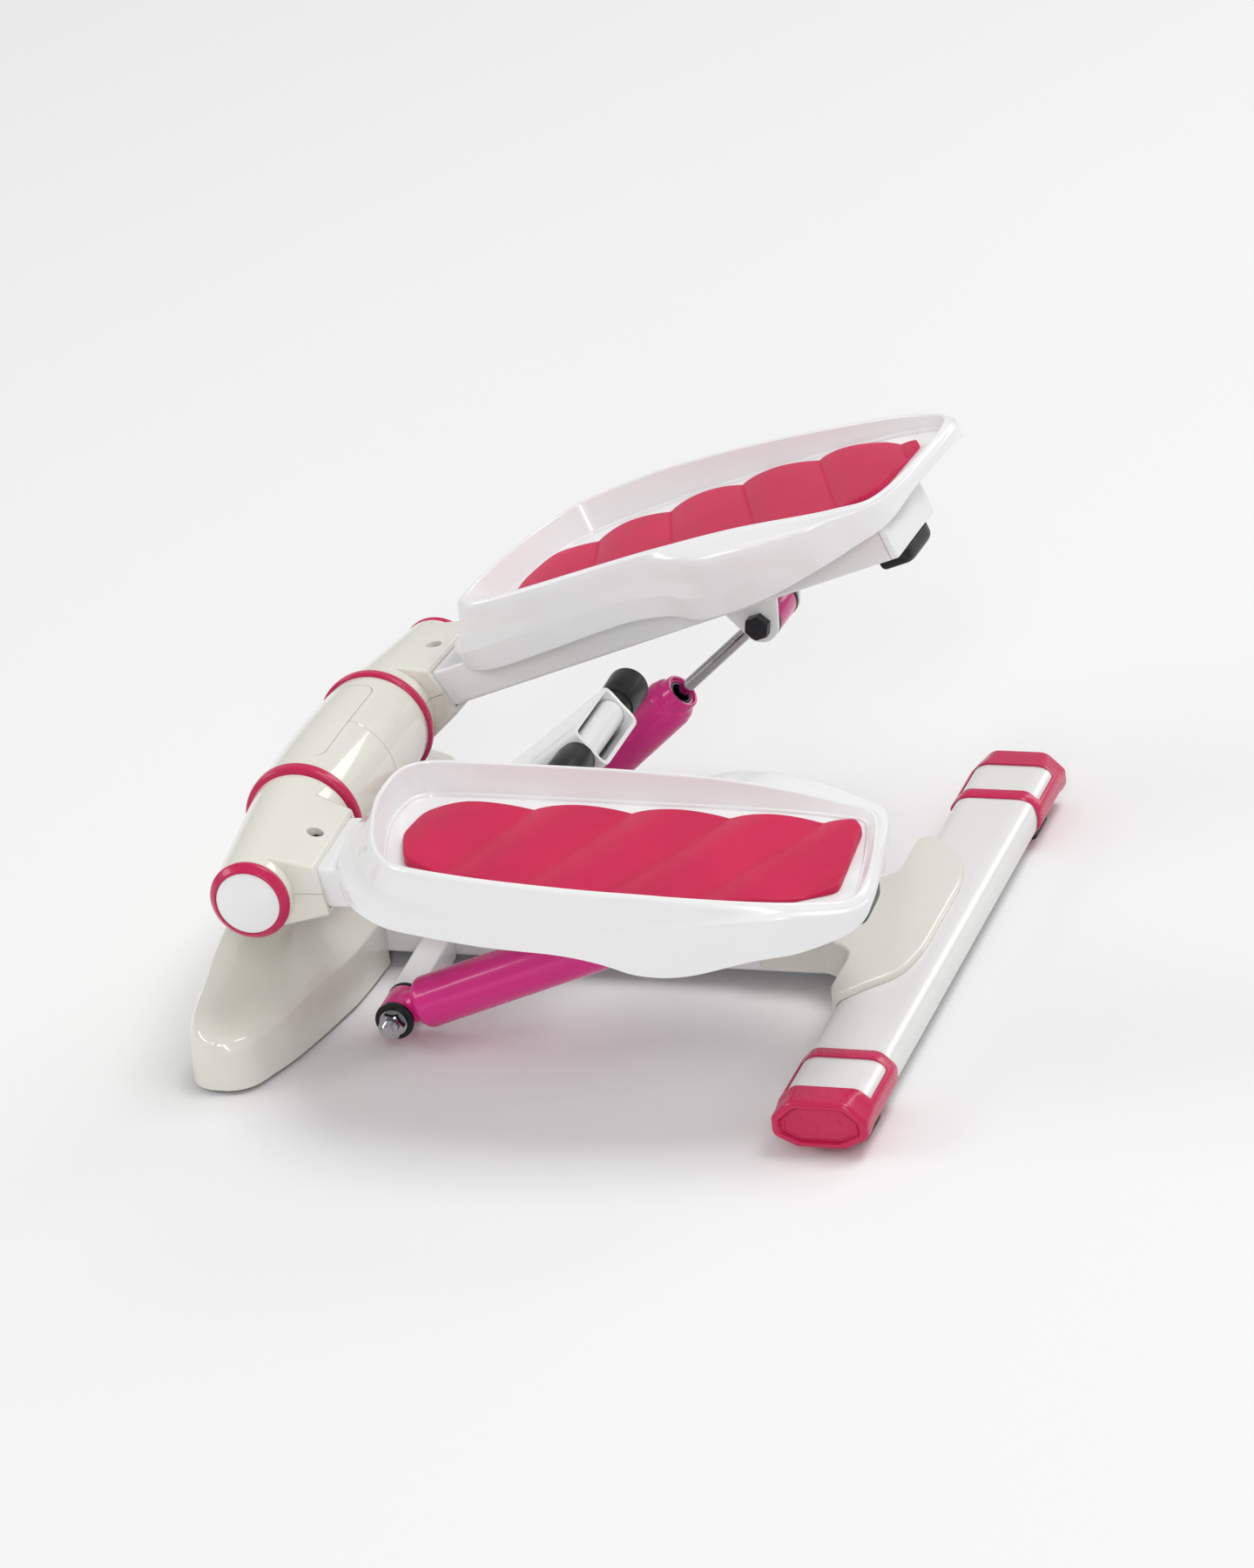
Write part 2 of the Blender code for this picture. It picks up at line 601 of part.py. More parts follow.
def make_front_cover(parent):
    stations = [(-x, *rest) for x, *rest in reversed(STAND_STATIONS)] + list(STAND_STATIONS[1:])
    mesh = bmesh.new()
    rows = [[mesh.verts.new(point) for point in stand_section(*station)] for station in stations]
    for first, second in zip(rows, rows[1:]):
        for index in range(len(first) - 1):
            mesh.faces.new((first[index], first[index + 1], second[index + 1], second[index]))
    mesh.faces.new(rows[0])
    mesh.faces.new(rows[-1][::-1])
    cover = put("front_cover", mesh, "ivory_plastic", parent)
    shell = cover.modifiers.new("wall", "SOLIDIFY")
    shell.thickness = STAND_WALL
    shell.offset = -1
    low = (-BEAM_HALF_WIDTH - TOUCH_GAP, STAND_STATIONS[0][1] - 0.01, STAND_BOTTOM - 0.01)
    high = (BEAM_HALF_WIDTH + TOUCH_GAP, DRUM_Y - UPRIGHT_HALF_DEPTH, BEAM_TOP + TOUCH_GAP)
    combine(cover, put_cutter("cover_for_beam", block(low, high), parent), "DIFFERENCE")
    around = upright_block(TOUCH_GAP, STAND_STATIONS[0][3], AXIS_Z - AXLE_RADIUS)
    room = put_cutter("upright_room", around, parent)
    combine(cover, room, "DIFFERENCE")
    return room


def upright_block(clearance, bottom, top):
    width = UPRIGHT_HALF_WIDTH + clearance
    depth = UPRIGHT_HALF_DEPTH + clearance
    return block((-width, DRUM_Y - depth, bottom), (width, DRUM_Y + depth, top), 0.002)


def make_front_frame(parent):
    low = (-FOOT_BAR_HALF_LENGTH, FOOT_BAR_REAR, FOOT_BAR_BOTTOM)
    high = (FOOT_BAR_HALF_LENGTH, FOOT_BAR_FRONT, FOOT_BAR_TOP)
    put("front_foot_bar", block(low, high, 0.003), "white_paint", parent)
    top = AXIS_Z - AXLE_RADIUS - TOUCH_GAP
    put("front_upright", upright_block(0, FOOT_BAR_TOP + TOUCH_GAP, top), "white_paint", parent)
    for name, side in SIDES.items():
        xs = sorted((side * FRONT_PAD_INNER_X, side * FRONT_PAD_OUTER_X))
        low = (xs[0], FOOT_BAR_REAR + FRONT_PAD_INSET, 0)
        high = (xs[1], FOOT_BAR_FRONT - FRONT_PAD_INSET, FOOT_BAR_BOTTOM - TOUCH_GAP)
        put(f"front_pad_{name}", block(low, high, 0.004), "black_rubber", parent)


# Drum, rings, axle and link
def drum_radius(x):
    share = abs(x) / DRUM_HALF_LENGTH
    return DRUM_MID_RADIUS - (DRUM_MID_RADIUS - DRUM_END_RADIUS) * share ** 2


def drum_sector(xs, bore, outer, first, last, steps=9):
    """A block of the drum's wall between two angles, measured forwards from the top."""
    loops = []
    for step in range(steps + 1):
        turn = first + (last - first) * step / steps
        way = Vector((0, math.sin(turn), math.cos(turn)))
        centre = Vector((0, DRUM_Y, AXIS_Z))
        loop = [centre + Vector((x, 0, 0)) + way * bore for x in xs]
        loop += [centre + Vector((x, 0, 0)) + way * outer(x) for x in reversed(xs)]
        loops.append(loop)
    return loft(loops)


def make_drum(parent, room):
    centre = (0, DRUM_Y, AXIS_Z)
    recess_half = PANEL_HALF_LENGTH + TOUCH_GAP
    slack = TOUCH_GAP / PANEL_FLOOR
    recess = drum_sector((-recess_half, recess_half), PANEL_FLOOR, lambda x: DRUM_MID_RADIUS + 0.004,
                         PANEL_REAR_ANGLE - slack, PANEL_FRONT_ANGLE + slack)
    pocket = put_cutter("panel_pocket", recess, parent)
    for name, side in SIDES.items():
        start = SPLIT_GAP / 2
        stops = [start + (DRUM_HALF_LENGTH - start) * share for share in (0, 0.25, 0.5, 0.75, 1)]
        profile = [(stop, drum_radius(stop)) for stop in stops]
        profile += [(stops[-1], DRUM_BORE), (stops[0], DRUM_BORE)]
        mesh = turned(profile, centre, (side, 0, 0), 32)
        shell = put(f"drum_shell_{name}", mesh, "ivory_plastic", parent)
        combine(shell, pocket, "DIFFERENCE")
        combine(shell, room, "DIFFERENCE")
    xs = [PANEL_HALF_LENGTH * share for share in (-1, -0.5, 0, 0.5, 1)]
    panel = drum_sector(xs, PANEL_FLOOR + TOUCH_GAP, drum_radius, PANEL_REAR_ANGLE, PANEL_FRONT_ANGLE)
    put("drum_panel", panel, "ivory_plastic", parent)


def make_drum_rings(parent):
    """Wedge rings that close the angle between the drum and each splayed hub."""
    for name, side in SIDES.items():
        way = Vector((side * math.cos(SPLAY), -math.sin(SPLAY), 0))
        hub = Vector((side * HUB_X, HUB_Y, AXIS_Z))
        outer_face = hub - way * (HUB_HALF_LENGTH + 0.0006)
        inner_face = Vector((side * (DRUM_HALF_LENGTH + TOUCH_GAP), DRUM_Y, AXIS_Z))
        middle = (outer_face + inner_face) / 2
        axis_in = Vector((side, 0, 0))
        loops = [ring(inner_face, axis_in, RING_BORE, 32), ring(inner_face, axis_in, RING_RADIUS, 32),
                 ring(middle, way + axis_in, RING_RADIUS + 0.0006, 32),
                 ring(outer_face, way, RING_RADIUS - 0.0006, 32), ring(outer_face, way, RING_BORE, 32)]
        put(f"drum_ring_{name}", loft(loops, closed=True), "pink_plastic", parent)


def make_axle(parent):
    loops = []
    for side in (-1, 1):
        way = Vector((side * math.cos(SPLAY), -math.sin(SPLAY), 0))
        hub = Vector((side * HUB_X, HUB_Y, AXIS_Z))
        seat = HUB_HALF_LENGTH - AXLE_HEAD_LENGTH - HEAD_ROOM
        steps = ((seat + AXLE_HEAD_LENGTH, AXLE_HEAD_RADIUS), (seat, AXLE_HEAD_RADIUS), (seat, AXLE_RADIUS))
        outward = [ring(hub + way * along, way * side, radius) for along, radius in steps]
        joint = ring((side * DRUM_HALF_LENGTH, DRUM_Y, AXIS_Z), (1, 0, 0), AXLE_RADIUS)
        arm = outward + [joint]
        loops += arm if side < 0 else arm[::-1]
    axle = put("axle", loft(loops), "steel", parent)
    level = AXIS_Z + FINGER_RADIUS * math.cos(PITCH_MIDDLE)
    low = level - ROCKER_HALF_HEIGHT - TOUCH_GAP
    high = level + ROCKER_HALF_HEIGHT + TOUCH_GAP
    profile = ((AXIS_Z + AXLE_RADIUS / 2, PIN_SHOULDER), (low, PIN_SHOULDER), (low, PIN_RADIUS),
               (high, PIN_RADIUS), (high, PIN_SHOULDER), (high + 0.002, PIN_SHOULDER))
    pin = turned(profile, (0, DRUM_Y, 0), (0, 0, 1), 24, closed=False)
    combine(axle, put_cutter("link_pin", pin, parent, smooth=True), "UNION")


def make_link_rocker(root):
    level = AXIS_Z + FINGER_RADIUS * math.cos(PITCH_MIDDLE)
    swing = math.atan2(FINGER_RADIUS * math.sin(PITCH_HIGH - PITCH_MIDDLE), ROCKER_ARM)
    frame = make_frame("link_axis", (0, DRUM_Y, level), splay=-swing, parent=root)
    slot = FINGER_HALF + SLOT_CLEARANCE
    depth = ROCKER_HALF_LENGTH - 2 * (ROCKER_HALF_LENGTH - ROCKER_ARM) - 0.002
    end = ((ROCKER_HALF_LENGTH, -ROCKER_HALF_WIDTH), (ROCKER_HALF_LENGTH, -slot), (depth, -slot),
           (depth, slot), (ROCKER_HALF_LENGTH, slot), (ROCKER_HALF_LENGTH, ROCKER_HALF_WIDTH))
    outline = list(end) + [(-x, -y) for x, y in end]
    height = ROCKER_HALF_HEIGHT
    bar = loft([along_z(outline, -height), along_z(outline, height)])
    rocker = put("link_rocker", bar, "steel", frame)
    ends = (-height - 0.002, height + 0.002)
    hole = loft([ring((0, 0, z), (0, 0, 1), PIN_RADIUS + RUNNING_GAP, 24) for z in ends])
    combine(rocker, put_cutter("rocker_hole", hole, frame), "DIFFERENCE")


# Pedal hub
def hub_radius(b):
    share = (b + HUB_HALF_LENGTH) / (2 * HUB_HALF_LENGTH)
    return HUB_INNER_RADIUS + (HUB_OUTER_RADIUS - HUB_INNER_RADIUS) * share


def pedal_prism(side, outline, low_b, high_b):
    """An outline of (a, c) points carried along b."""
    return loft([[pedal_point(side, a, b, c) for a, c in outline] for b in (low_b, high_b)])


def pedal_block(side, a, b, c):
    """A box from pairs of a, b and c."""
    outline = ((a[0], c[0]), (a[1], c[0]), (a[1], c[1]), (a[0], c[1]))
    return pedal_prism(side, outline, b[0], b[1])


def make_hub_tube(name, side, frame):
    bore = AXLE_RADIUS + RUNNING_GAP
    start = -HUB_HALF_LENGTH + 0.0005
    end = HUB_HALF_LENGTH - AXLE_HEAD_LENGTH - HEAD_ROOM - TOUCH_GAP
    profile = ((start, bore), (start, FLANGE_RADIUS), (start + FLANGE_THICKNESS, FLANGE_RADIUS),
               (start + FLANGE_THICKNESS, HUB_TUBE_RADIUS), (end, HUB_TUBE_RADIUS), (end, bore))
    tube = put(f"hub_tube_{name}", turned(profile, (0, 0, 0), (side, 0, 0)), "steel", frame)
    a = FINGER_RADIUS * math.sin(PITCH_MIDDLE)
    c = FINGER_RADIUS * math.cos(PITCH_MIDDLE)
    reach = (-FINGER_REACH, start + FLANGE_THICKNESS / 2)
    finger = pedal_block(side, (a - FINGER_HALF, a + FINGER_HALF), reach, (c - FINGER_HALF, c + FINGER_HALF))
    combine(tube, put_cutter(f"link_finger_{name}", finger, frame), "UNION")


def make_hub_covers(name, side, frame):
    wall = HUB_COVER_WALL
    ends = (-HUB_HALF_LENGTH, HUB_HALF_LENGTH)
    collar = ((0.0, COLLAR_START_C), (COLLAR_START_A, COLLAR_START_C),
              (COLLAR_TOP_A, ARM_TOP + TOUCH_GAP + COLLAR_WALL),
              (COLLAR_BOTTOM_A, ARM_BOTTOM - TOUCH_GAP - COLLAR_WALL),
              (COLLAR_HEEL_A, COLLAR_HEEL_C), (0.0, COLLAR_HEEL_C))
    extra = put_cutter(f"hub_collar_{name}", pedal_prism(side, collar, COLLAR_IN_B, COLLAR_OUT_B), frame)
    shut = HUB_HALF_LENGTH - HUB_END_WALL
    mouth = -HUB_HALF_LENGTH - BEYOND
    cavity = ((mouth, hub_radius(mouth) - wall), (shut, hub_radius(shut) - wall),
              (shut, AXLE_HEAD_RADIUS + HEAD_ROOM), (HUB_HALF_LENGTH + BEYOND, AXLE_HEAD_RADIUS + HEAD_ROOM))
    hollow = put_cutter(f"hub_cavity_{name}", turned(cavity, (0, 0, 0), (side, 0, 0), closed=False), frame)
    room = (ARM_IN_B - TOUCH_GAP, ARM_OUT_B + TOUCH_GAP)
    height = (ARM_BOTTOM - TOUCH_GAP, ARM_TOP + TOUCH_GAP)
    channel = put_cutter(f"arm_channel_{name}", pedal_block(side, (0.008, 0.06), room, height), frame)
    for half, low, high in (("upper", SPLIT_GAP / 2, 0.06), ("lower", -0.06, -SPLIT_GAP / 2)):
        profile = [(b, hub_radius(b)) for b in ends]
        cover = put(f"hub_cover_{half}_{name}", turned(profile, (0, 0, 0), (side, 0, 0), closed=False),
                    "ivory_plastic", frame)
        combine(cover, extra, "UNION")
        combine(cover, hollow, "DIFFERENCE")
        combine(cover, channel, "DIFFERENCE")
        keep = pedal_block(side, (-0.06, 0.07), (-0.07, 0.07), (low, high))
        combine(cover, put_cutter(f"{half}_half_{name}", keep, frame), "INTERSECT")
        if half == "upper":
            hole = [ring(pedal_point(side, SCREW_A, SCREW_B, c), (0, 0, 1), SCREW_HOLE_RADIUS, 20)
                    for c in (ARM_TOP - 0.002, 0.04)]
            combine(cover, put_cutter(f"screw_hole_{name}", loft(hole), frame), "DIFFERENCE")


def make_hub_end(name, side, frame):
    start = HUB_HALF_LENGTH + TOUCH_GAP
    front = start + END_RING_LENGTH
    seat = front - 0.0025
    bore = AXLE_HEAD_RADIUS + 0.002
    lip = DOME_RADIUS + TOUCH_GAP
    profile = ((start, bore), (start, END_RING_RADIUS), (start + 0.0008, END_RING_RADIUS + 0.0002),
               (front, DOME_RADIUS + 0.0012), (front, lip), (seat, lip), (seat, bore))
    put(f"end_ring_{name}", turned(profile, (0, 0, 0), (side, 0, 0), 24), "pink_plastic", frame)
    back = seat + TOUCH_GAP
    rim = front - 0.0002
    profile = [(back, DOME_RADIUS), (rim, DOME_RADIUS)]
    for share in (0.8, 0.55, 0.25):
        profile.append((rim + DOME_RISE * (1 - share ** 2), DOME_RADIUS * share))
    dome = turned(profile, (0, 0, 0), (side, 0, 0), 24, closed=False)
    put(f"end_dome_{name}", dome, "white_plastic", frame)


# Pedal arm, tray and pad
def arm_outline(inset=0.0):
    radius = max(ARM_CORNER - inset, 0.0008)
    return rectangle(ARM_IN_B + inset, ARM_OUT_B - inset, ARM_BOTTOM + inset, ARM_TOP - inset, radius)


def arm_loop(side, a, inset=0.0):
    return [pedal_point(side, a, b, c) for b, c in arm_outline(inset)]


def make_arm(name, side, frame):
    ends = (ARM_FRONT_A, ARM_REAR_A)
    loops = [arm_loop(side, ends[0]), arm_loop(side, ends[1]),
             arm_loop(side, ends[1], ARM_WALL), arm_loop(side, ends[0], ARM_WALL)]
    put(f"arm_{name}", loft(loops, closed=True), "white_paint", frame)
    seat = ARM_REAR_A + TOUCH_GAP
    inset = ARM_WALL + TOUCH_GAP
    loops = [arm_loop(side, seat - PLUG_INSERT, inset), arm_loop(side, seat, inset),
             arm_loop(side, seat), arm_loop(side, seat + PLUG_THICKNESS)]
    put(f"arm_plug_{name}", loft(loops), "white_plastic", frame)
    top = ARM_BOTTOM - TOUCH_GAP
    bottom = top - BUMPER_DEPTH
    behind = seat + PLUG_THICKNESS
    outline = ((BUMPER_FRONT_A, top), (BUMPER_FRONT_A, top - BUMPER_LIP),
               (BUMPER_FRONT_A + BUMPER_ROUND, bottom), (BUMPER_REAR_A - BUMPER_ROUND, bottom),
               (BUMPER_REAR_A, bottom + BUMPER_ROUND), (BUMPER_REAR_A, top - BUMPER_LIP), (behind, top))
    put(f"arm_bumper_{name}", pedal_prism(side, outline, BUMPER_IN_B, BUMPER_OUT_B), "black_rubber", frame)


def inward(loop, distance):
    """Move each point of a flat loop towards the inside by a distance."""
    result = []
    count = len(loop)
    for index, (a, b) in enumerate(loop):
        before = Vector(loop[index - 1])
        after = Vector(loop[(index + 1) % count])
        along = (after - before).normalized()
        normal = Vector((-along.y, along.x))
        result.append((a + normal.x * distance, b + normal.y * distance))
    return result


def floor_height(a):
    """Height of the tray's floor at a distance from the pedal's axis."""
    slope = (FLOOR_HEEL_HEIGHT - FLOOR_TOE_HEIGHT) / (FLOOR_HEEL_A - FLOOR_TOE_A)
    return FLOOR_TOE_HEIGHT + (a - FLOOR_TOE_A) * slope


def make_tray(name, side, frame):
    stations = smooth_loop(TRAY_STATIONS, TRAY_STEPS)
    plan = [station[:2] for station in stations]
    centre = Vector((sum(a for a, b in plan) / len(plan), sum(b for a, b in plan) / len(plan)))
    sign = 1 if is_inward(plan, centre) else -1
    count = range(len(plan))

    def offset(distances):
        return [inward(plan, sign * distances[index])[index] for index in count]

    def even(value):
        return [value for index in count]

    def floor(points, rise=0.0):
        return [floor_height(a) + rise for a, b in points]

    rims = [station[2] for station in stations]
    shoulders = [(station[3], station[4]) for station in stations]
    creases = [(station[5], station[6]) for station in stations]
    skirts = [(station[7], station[8]) for station in stations]
    waists = []
    for (high, top), (low, bottom) in zip(shoulders, creases):
        waists.append((high + (low - high) * WAIST_REACH, top + (bottom - top) * WAIST_DROP))

    def outer(rows, thickness=0.0, drop=0.0):
        return (offset([thickness - reach for reach, height in rows]),
                [height - drop for reach, height in rows])

    base = offset(even(WALL_BASE_INSET))
    ledge = offset(even(LEDGE_INSET))
    under = offset(even(FLOOR_WALL_INSET))
    layers = [
        (ledge, floor(ledge)),
        (base, floor(base, STEP_HEIGHT)),
        (offset(even(RIM_INNER_INSET)), rims),
        (offset(even(RIM_OUTER_INSET)), rims),
        (plan, [height - RIM_EDGE_DROP for height in rims]),
        outer(shoulders),
        outer(waists),
        outer(creases),
        outer(skirts),
        outer(skirts, TRAY_WALL),
        outer(creases, TRAY_WALL, SHOULDER_DROP / 2),
        outer(waists, TRAY_WALL, SHOULDER_DROP * 3 / 4),
        outer(shoulders, TRAY_WALL, SHOULDER_DROP),
        (under, floor(under, -FLOOR_THICKNESS)),
    ]
    loops = []
    for points, heights in layers:
        loops.append([pedal_point(side, a, b, c) for (a, b), c in zip(points, heights)])
    tray = put(f"footplate_{name}", loft(loops), "white_plastic", frame)
    span = (0.0, ARM_REAR_A + 2 * TOUCH_GAP + PLUG_THICKNESS)
    width = (ARM_IN_B - TOUCH_GAP, ARM_OUT_B + TOUCH_GAP)
    notch = pedal_block(side, span, width, (ARM_BOTTOM, ARM_TOP + TOUCH_GAP))
    combine(tray, put_cutter(f"tray_notch_{name}", notch, frame), "DIFFERENCE")
    foot = ARM_TOP + TOUCH_GAP
    outline = ((RAIL_START_A, foot), (RAIL_END_A, foot),
               (RAIL_END_A, floor_height(RAIL_END_A) - FLOOR_THICKNESS / 2),
               (RAIL_START_A, floor_height(RAIL_START_A) - FLOOR_THICKNESS / 2))
    for number, b in enumerate((ARM_IN_B + RAIL_INSET, ARM_OUT_B - RAIL_INSET - RAIL_THICKNESS)):
        rail = pedal_prism(side, outline, b, b + RAIL_THICKNESS)
        combine(tray, put_cutter(f"tray_rail_{number}_{name}", rail, frame), "UNION")


def is_inward(plan, centre):
    moved = inward(plan, 0.001)[0]
    return (Vector(moved) - centre).length < (Vector(plan[0]) - centre).length


def make_pad(name, side, frame):
    outline = rounded(PAD_OUTLINE, 4)
    loops = []
    for rise in (TOUCH_GAP, TOUCH_GAP + PAD_THICKNESS):
        loops.append([pedal_point(side, a, b, floor_height(a) + rise) for a, b in outline])
    put(f"foot_pad_{name}", loft(loops), "pad_rubber", frame)


# Damper mountings under the pedal arm
def make_lug(name, side, frame):
    top = ARM_BOTTOM - TOUCH_GAP
    round_part = [(UPPER_EYE_A + LUG_ROUND * math.cos(t), UPPER_EYE_C + LUG_ROUND * math.sin(t))
                  for t in [math.radians(200 + 20 * step) for step in range(8)]]
    outline = [(UPPER_EYE_A - LUG_TOP_HALF, top)] + round_part + [(UPPER_EYE_A + LUG_TOP_HALF, top)]
    half = LUG_INNER_HALF + LUG_PLATE
    lug = put(f"damper_lug_{name}", pedal_prism(side, outline, -half, half), "white_paint", frame)
    low = UPPER_EYE_C - LUG_ROUND - 0.005
    roof = max(UPPER_EYE_C + UPPER_FLANGE_RADIUS + 0.0012, top - 0.0035)
    span = (UPPER_EYE_A - 0.03, UPPER_EYE_A + 0.03)
    inside = (-LUG_INNER_HALF, LUG_INNER_HALF)
    slot = pedal_block(side, span, inside, (low, roof))
    combine(lug, put_cutter(f"lug_slot_{name}", slot, frame), "DIFFERENCE")
    reach = [pedal_point(side, UPPER_EYE_A, b, UPPER_EYE_C) for b in (-half - 0.002, half + 0.002)]
    hole = loft([ring(point, (1, 0, 0), BOLT_RADIUS + RUNNING_GAP, 24) for point in reach])
    combine(lug, put_cutter(f"lug_hole_{name}", hole, frame), "DIFFERENCE")
    seat = half + TOUCH_GAP
    steps = ((-seat - NUT_HEIGHT, "hexagon"), (-seat, "hexagon"), (-seat, "ring"),
             (seat, "ring"), (seat, "hexagon"), (seat + NUT_HEIGHT, "hexagon"))
    loops = []
    for along, kind in steps:
        centre = pedal_point(side, UPPER_EYE_A, along, UPPER_EYE_C)
        shape = hexagon(centre, (1, 0, 0), NUT_HALF) if kind == "hexagon" else ring(centre, (1, 0, 0),
                                                                                     BOLT_RADIUS, 24)
        loops.append(shape)
    put(f"lug_bolt_{name}", loft(loops), "black_steel", frame)


# Dampers
def damper_pose(pitch):
    """Length and angle of the damper for one pitch of its pedal."""
    a = UPPER_EYE_A * math.cos(pitch) - UPPER_EYE_C * math.sin(pitch)
    c = UPPER_EYE_A * math.sin(pitch) + UPPER_EYE_C * math.cos(pitch)
    run = a - LOWER_EYE_A
    rise = c - LOWER_EYE_C
    return math.hypot(run, rise), math.atan2(rise, run)


def spool(half, flange_radius, core_radius, bore, origin, side, frame, name):
    inner = half + TOUCH_GAP
    outer = inner + FLANGE_RUBBER
    profile = ((-outer, bore), (-outer, flange_radius), (-inner, flange_radius), (-inner, core_radius),
               (inner, core_radius), (inner, flange_radius), (outer, flange_radius), (outer, bore))
    put(name, turned(profile, origin, (side, 0, 0), 20), "black_rubber", frame)


def make_damper(name, side, root, pedal_frame):
    length, angle = damper_pose(REST_PITCH[name])
    splay = side * SPLAY
    base = Vector((side * HUB_X, HUB_Y, AXIS_Z))
    base += Matrix.Rotation(-splay, 3, "Z") @ pedal_point(side, LOWER_EYE_A, 0, LOWER_EYE_C)
    frame = make_frame(f"damper_base_{name}", base, splay, angle, root)
    neck = BODY_TOP - BODY_NECK_LENGTH
    profile = ((BODY_STEM_RADIUS / 2, BODY_STEM_RADIUS), (BODY_START - TOUCH_GAP, BODY_STEM_RADIUS),
               (BODY_START, BODY_START_RADIUS), (BODY_SHOULDER, BODY_RADIUS),
               (neck - BODY_STEP - BODY_CHAMFER, BODY_RADIUS), (neck - BODY_STEP, BODY_RADIUS - BODY_STEP),
               (neck, BODY_NECK_RADIUS + BODY_STEP / 2), (BODY_TOP, BODY_NECK_RADIUS),
               (BODY_TOP, BODY_BORE), (BORE_START, BODY_BORE))
    body = put(f"damper_body_{name}", turned(profile, (0, 0, 0), (0, -1, 0), 24, closed=False),
               "magenta_paint", frame)
    eye = loft([ring((x, 0, 0), (1, 0, 0), EYE_RADIUS, 24) for x in (-LOWER_EYE_HALF, LOWER_EYE_HALF)])
    combine(body, put_cutter(f"lower_eye_{name}", eye, frame, smooth=True), "UNION")
    hole = loft([ring((x, 0, 0), (1, 0, 0), EYE_BORE, 24) for x in (-0.03, 0.03)])
    combine(body, put_cutter(f"lower_eye_hole_{name}", hole, frame), "DIFFERENCE")
    core = EYE_BORE - TOUCH_GAP
    spool(LOWER_EYE_HALF, LOWER_FLANGE_RADIUS, core, STUD_RADIUS + RUNNING_GAP, (0, 0, 0), side, frame,
          f"damper_bush_{name}")

    upper = pedal_point(side, UPPER_EYE_A, 0, UPPER_EYE_C)
    rod_frame = make_frame(f"damper_top_{name}", upper, 0, angle - REST_PITCH[name], pedal_frame)
    eye = loft([ring((x, 0, 0), (1, 0, 0), EYE_RADIUS, 24) for x in (-UPPER_EYE_HALF, UPPER_EYE_HALF)])
    rod = put(f"damper_rod_{name}", eye, "chrome", rod_frame)
    shaft = turned(((EYE_RADIUS - 0.002, ROD_RADIUS), (ROD_LENGTH, ROD_RADIUS)), (0, 0, 0), (0, 1, 0), 20,
                   closed=False)
    combine(rod, put_cutter(f"rod_shaft_{name}", shaft, rod_frame, smooth=True), "UNION")
    hole = loft([ring((x, 0, 0), (1, 0, 0), EYE_BORE, 24) for x in (-0.03, 0.03)])
    combine(rod, put_cutter(f"upper_eye_hole_{name}", hole, rod_frame), "DIFFERENCE")
    spool(UPPER_EYE_HALF, UPPER_FLANGE_RADIUS, core, BOLT_RADIUS + RUNNING_GAP, (0, 0, 0), side, rod_frame,
          f"rod_bush_{name}")


def make_carrier(name, side, root):
    """The arm that holds a damper's lower eye out from the beam, with its stud and nut."""
    frame = make_frame(f"hub_plumb_{name}", (side * HUB_X, HUB_Y, AXIS_Z), side * SPLAY, 0, root)
    half = CARRIER_HALF
    end = -(LOWER_EYE_HALF + TOUCH_GAP + FLANGE_RUBBER + CARRIER_SEAT)
    corners = ((-half, -half), (half, -half), (half, half), (-half, half))
    outline = rounded([(u, v, 0.002) for u, v in corners], 2)
    beam_face = BEAM_HALF_WIDTH + TOUCH_GAP
    loops = [[], []]
    for u, v in outline:
        a = LOWER_EYE_A + u
        reach = (HUB_X - beam_face - a * math.sin(SPLAY)) / math.cos(SPLAY)
        loops[0].append(pedal_point(side, a, -reach, LOWER_EYE_C + v))
        loops[1].append(pedal_point(side, a, end, LOWER_EYE_C + v))
    put(f"damper_carrier_{name}", loft(loops), "white_paint", frame)
    start = end + TOUCH_GAP
    flange = LOWER_EYE_HALF + TOUCH_GAP + FLANGE_RUBBER
    washer = flange + TOUCH_GAP
    nut = washer + WASHER_THICKNESS
    tip = nut + NUT_HEIGHT
    foot = STUD_RADIUS + SPACER_WALL
    steps = ((start, foot, "ring"), (-flange - TOUCH_GAP, foot, "ring"),
             (-flange - TOUCH_GAP, STUD_RADIUS, "ring"), (washer, STUD_RADIUS, "ring"),
             (washer, WASHER_RADIUS, "ring"), (nut, WASHER_RADIUS, "ring"),
             (nut, NUT_HALF, "hexagon"), (tip, NUT_HALF, "hexagon"),
             (tip, STUD_CORE_RADIUS, "ring"), (tip + THREAD_LENGTH, STUD_CORE_RADIUS, "ring"))
    loops = []
    for along, size, kind in steps:
        centre = pedal_point(side, LOWER_EYE_A, along, LOWER_EYE_C)
        if kind == "hexagon":
            loops.append(hexagon(centre, (1, 0, 0), size))
        else:
            loops.append(ring(centre, (1, 0, 0), size, 24))
    put(f"damper_stud_{name}", loft(loops), "chrome", frame)


